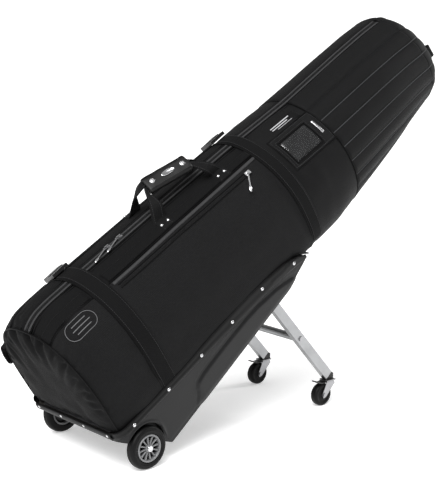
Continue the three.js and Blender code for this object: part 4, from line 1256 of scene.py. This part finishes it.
def spoke_shape(centre, turn, side):
    """A spoke from four sections, (radius, half width, face), each with six corners."""
    axis = np.array([math.cos(turn), 0, math.sin(turn)])
    across = np.array([-math.sin(turn), 0, math.cos(turn)])
    out = np.array([0, float(side), 0])
    points = []
    for r, half, face in [(8.0, 2.0, 173.2), (14, 1.55, 172.6), (22, 1.75, 172.9), (28.0, 2.7, 174.0)]:
        for y, narrow in ((face - 7.5, 1.0), (face - 1.0, 1.0), (face, 0.55)):
            for way in (-1, 1):
                place = axis * r + across * way * half * narrow + out * y
                points.append(np.array(centre) * [1, 0, 1] + place * MM)
    order = [0, 2, 4, 5, 3, 1]
    faces = []
    for i in range(3):
        for p, q in zip(order, order[1:] + order[:1]):
            faces.append((i * 6 + p, i * 6 + q, (i + 1) * 6 + q, (i + 1) * 6 + p))
    return points, faces + [tuple(order), tuple(18 + k for k in order[::-1])]


def main_wheel(where, side):
    centre = middle_of(f"tyre_{where}")

    def turned(name, profile, material, segments, body=f"wheel_{where}"):
        return turned_profile(f"{name}_{where}", body, centre, [(r, side * y) for r, y in profile], material,
                              segments)

    tread = [(32.4, 151), (36, 150.2), (40, 150.4), (44, 150), (47, 152), (49, 155), (49.9, 158.5),
             (49.2, 159.4), (49.2, 160.2), (50, 161.2), (50, 162.8), (49.2, 163.8), (49.2, 164.6),
             (49.9, 165.5), (49, 169), (47.2, 172), (44.5, 174.2), (43.8, 173.7), (42.6, 174.6),
             (38.5, 175), (37.8, 174.3), (36, 174.6), (34, 174.4), (32.6, 173), (32.4, 160)]
    tyre = turned("tyre_tread", tread, TYRE_RUBBER, 120)
    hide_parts(f"tyre_{where}")
    rim_ring = [(27.2, 153), (32, 152), (32.1, 173.6), (31.4, 175.2), (29.4, 175.6), (28.2, 174.6),
                (27.2, 171)]
    rim = turned("rim_ring", rim_ring, RIM_PLASTIC, 96)
    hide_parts(f"wheel_rim_{where}")
    points, faces = join_shapes([spoke_shape(centre, k * math.pi / 6 + 0.13, side) for k in range(12)])
    row_mesh(f"rim_spokes_{where}", points, faces, RIM_PLASTIC, f"wheel_{where}")
    hub = [(4.5, 148), (9, 148), (9.2, 172.4), (8.4, 174.2), (6.6, 174.4), (4.5, 174)]
    turned("rim_hub", hub, RIM_PLASTIC, 48)
    back = [(8.5, 158), (28, 158), (28, 160.5), (8.5, 160.5)]
    turned("rim_web", back, BLACK_PLASTIC, 64)
    cap = [(0.01, 174.6), (6.9, 174.6), (7.2, 176.4), (6.2, 177.8), (3.6, 178.3), (3.2, 177.6), (0.01, 177.5)]
    turned("wheel_bolt", cap, SILVER, 40, body="case")


def caster_wheel(where, side):
    low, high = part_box(f"caster_wheel_{where}")
    centre = (low + high) / 2
    cy = centre[1] / MM
    r = (high[2] - low[2]) / 2 / MM
    profile = [(3.6, -8.6), (7.5, -10.3), (9.5, -10.4), (10.5, -9.2), (19, -8.6), (20.4, -9.8), (23, -10.2),
               (r - 2.6, -9.6), (r - 0.9, -7.6), (r, -4), (r, 4), (r - 0.9, 7.6), (r - 2.6, 9.6), (23, 10.2),
               (20.4, 9.8), (19, 8.6), (10.5, 9.2), (9.5, 10.4), (7.5, 10.3), (3.6, 8.6)]
    wheel = turned_profile(f"caster_tread_{where}", f"caster_wheel_{where}", centre,
                           [(a, cy + b) for a, b in profile], TYRE_RUBBER, 72)
    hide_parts(f"caster_wheel_{where}")


for where_, side_ in SIDES.items():
    main_wheel(where_, side_)
    caster_wheel(where_, side_)


# ---------- the CAD nodes that show as they are
def dress(names, material, width=0.0, segments=2):
    for name in names:
        obj = NODES[name]
        obj.data.materials.clear()
        obj.data.materials.append(material)
        if width:
            bevel(obj, width, segments)


both = lambda *stems: [f"{stem}_{where}" for stem in stems for where in SIDES]
dress(["skid_base"], SKID_PLASTIC, 1.2, 2)
dress(["deck_board"], BOARD, 0.8)
dress(both("leg") + ["cross_tube"], ALUMINIUM, 0.7, 2)
dress(both("leg_plug", "pivot_bracket"), BLACK_PLASTIC, 0.6)
dress(both("brake_lever"), BLACK_PLASTIC, 0.5)
dress(both("caster_plate", "caster_fork", "caster_axle") + ["cross_bolt", "leg_pivot_shaft"], ZINC, 0.35)
dress(both("axle_bolt"), SILVER, 0.4)
dress([f"{strap}_buckle_{part}" for strap in ("lower", "upper") for part in ("socket", "tongue")],
      BLACK_PLASTIC, 1.4, 3)
dress([f"{zipper}_{part}" for zipper in ("main_upper", "main_lower", "pocket_near", "pocket_far")
       for part in ("slider", "pull")], SILVER, 0.45, 2)


# ---------- inside
def head_pad():
    """The padded ring for the club heads, quilted into segments."""
    points = []
    rows, cols = 96, 24
    for i in range(rows):
        a = i * 2 * math.pi / rows
        pinch = 1 - 0.09 * groove(math.sin(a * 6), 0.25)
        for j in range(cols):
            b = j * 2 * math.pi / cols
            r = 104 + 15.6 * pinch * math.cos(b)
            points.append((1216 + 15.6 * pinch * math.sin(b), r * math.cos(a), 206 + r * math.sin(a)))
    faces = []
    for i in range(rows):
        for j in range(cols):
            k, m = (i + 1) % rows, (j + 1) % cols
            faces.append((i * cols + j, i * cols + m, k * cols + m, k * cols + j))
    pad = recalc(add_mesh("head_ring", points, faces, FOAM_CLOTH, slot="foam"))
    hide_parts("club_head_pad")


def floor_padding():
    """The quilted pad on the deck board, with its front flap running down into the toe."""
    line = np.array([(-14.6, 117.2), (588, 117.2), (602, 113.6), (674, 62.0)])
    run = np.concatenate([[0], np.cumsum(np.linalg.norm(np.diff(line, axis=0), axis=1))])
    at = np.linspace(0, run[-1], 160)
    ys = np.linspace(-127.6, 127.6, 80)
    grid = np.empty((160, 80, 3))
    for i, d in enumerate(at):
        u, w = np.interp(d, run, line[:, 0]), np.interp(d, run, line[:, 1])
        quilt = 0.5 * np.abs(math.sin(d / 34)) ** 0.5 * np.abs(np.sin(ys / 34)) ** 0.5
        grid[i] = np.stack([np.full(80, u), ys, w - 0.6 + quilt], 1)
    pad = add_grid("floor_quilt", grid, FOAM_CLOTH, 3.4, slot="foam")
    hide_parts("floor_pad")


head_pad()
floor_padding()


# ---------- floor, light and camera
FLOOR_HALF = 60                    # metres


def area_light(name, at, toward, size, power):
    data = bpy.data.lights.new(name, "AREA")
    data.shape = "RECTANGLE"
    data.size, data.size_y = size
    data.energy = power
    lamp = bpy.data.objects.new(name, data)
    lamp.location = at
    lamp.rotation_euler = (Vector(toward) - Vector(at)).to_track_quat("-Z", "Y").to_euler()
    bpy.context.scene.collection.objects.link(lamp)


def studio():
    material, nodes, links, shader = tree_of("studio_floor")
    shader.inputs["Base Color"].default_value = (0.92, 0.92, 0.92, 1)
    shader.inputs["Roughness"].default_value = 0.9
    shader.inputs["Specular IOR Level"].default_value = 0.1
    shader.inputs["Emission Color"].default_value = (1, 1, 1, 1)
    shader.inputs["Emission Strength"].default_value = 0.36
    corners = [(x * FLOOR_HALF, y * FLOOR_HALF, 0) for x, y in ((-1, -1), (1, -1), (1, 1), (-1, 1))]
    mesh = bpy.data.meshes.new("floor")
    mesh.from_pydata(corners, [], [(0, 1, 2, 3)])
    mesh.materials.append(material)
    floor = bpy.data.objects.new("floor", mesh)
    floor.location.z = -0.0002
    bpy.context.scene.collection.objects.link(floor)
    world = bpy.data.worlds.new("studio")
    world.use_nodes = True
    world.node_tree.nodes["Background"].inputs[0].default_value = (1, 1, 1, 1)
    world.node_tree.nodes["Background"].inputs[1].default_value = 0.38
    bpy.context.scene.world = world
    lamp = bpy.data.lights.new("high_sun", "SUN")
    lamp.energy = 3.0
    lamp.angle = math.radians(52)
    sun = bpy.data.objects.new("high_sun", lamp)
    sun.rotation_euler = Vector((0.62, 0.3, -1.0)).to_track_quat("-Z", "Y").to_euler()
    bpy.context.scene.collection.objects.link(sun)
    area_light("key", (-2.6, -1.6, 3.2), (-0.1, 0, 0.5), (1.5, 1.5), 66)
    area_light("rim", (2.6, -0.6, 1.9), (0.3, 0, 0.7), (0.8, 1.8), 30)


def camera():
    azimuth, elevation = math.radians(-41.667), math.radians(12.179)
    data = bpy.data.cameras.new("camera")
    data.lens = 93.46
    data.sensor_width = 36
    data.clip_end = 200
    cam = bpy.data.objects.new("camera", data)
    cam.location = (-2.1163, -2.3045, 1.0855)
    forward = Vector((-math.sin(azimuth) * math.cos(elevation), math.cos(azimuth) * math.cos(elevation),
                      -math.sin(elevation)))
    cam.rotation_mode = "QUATERNION"
    cam.rotation_quaternion = forward.to_track_quat("-Z", "Y")
    bpy.context.scene.collection.objects.link(cam)
    bpy.context.scene.camera = cam


camera()
studio()
bpy.context.scene.view_settings.view_transform = "Standard"
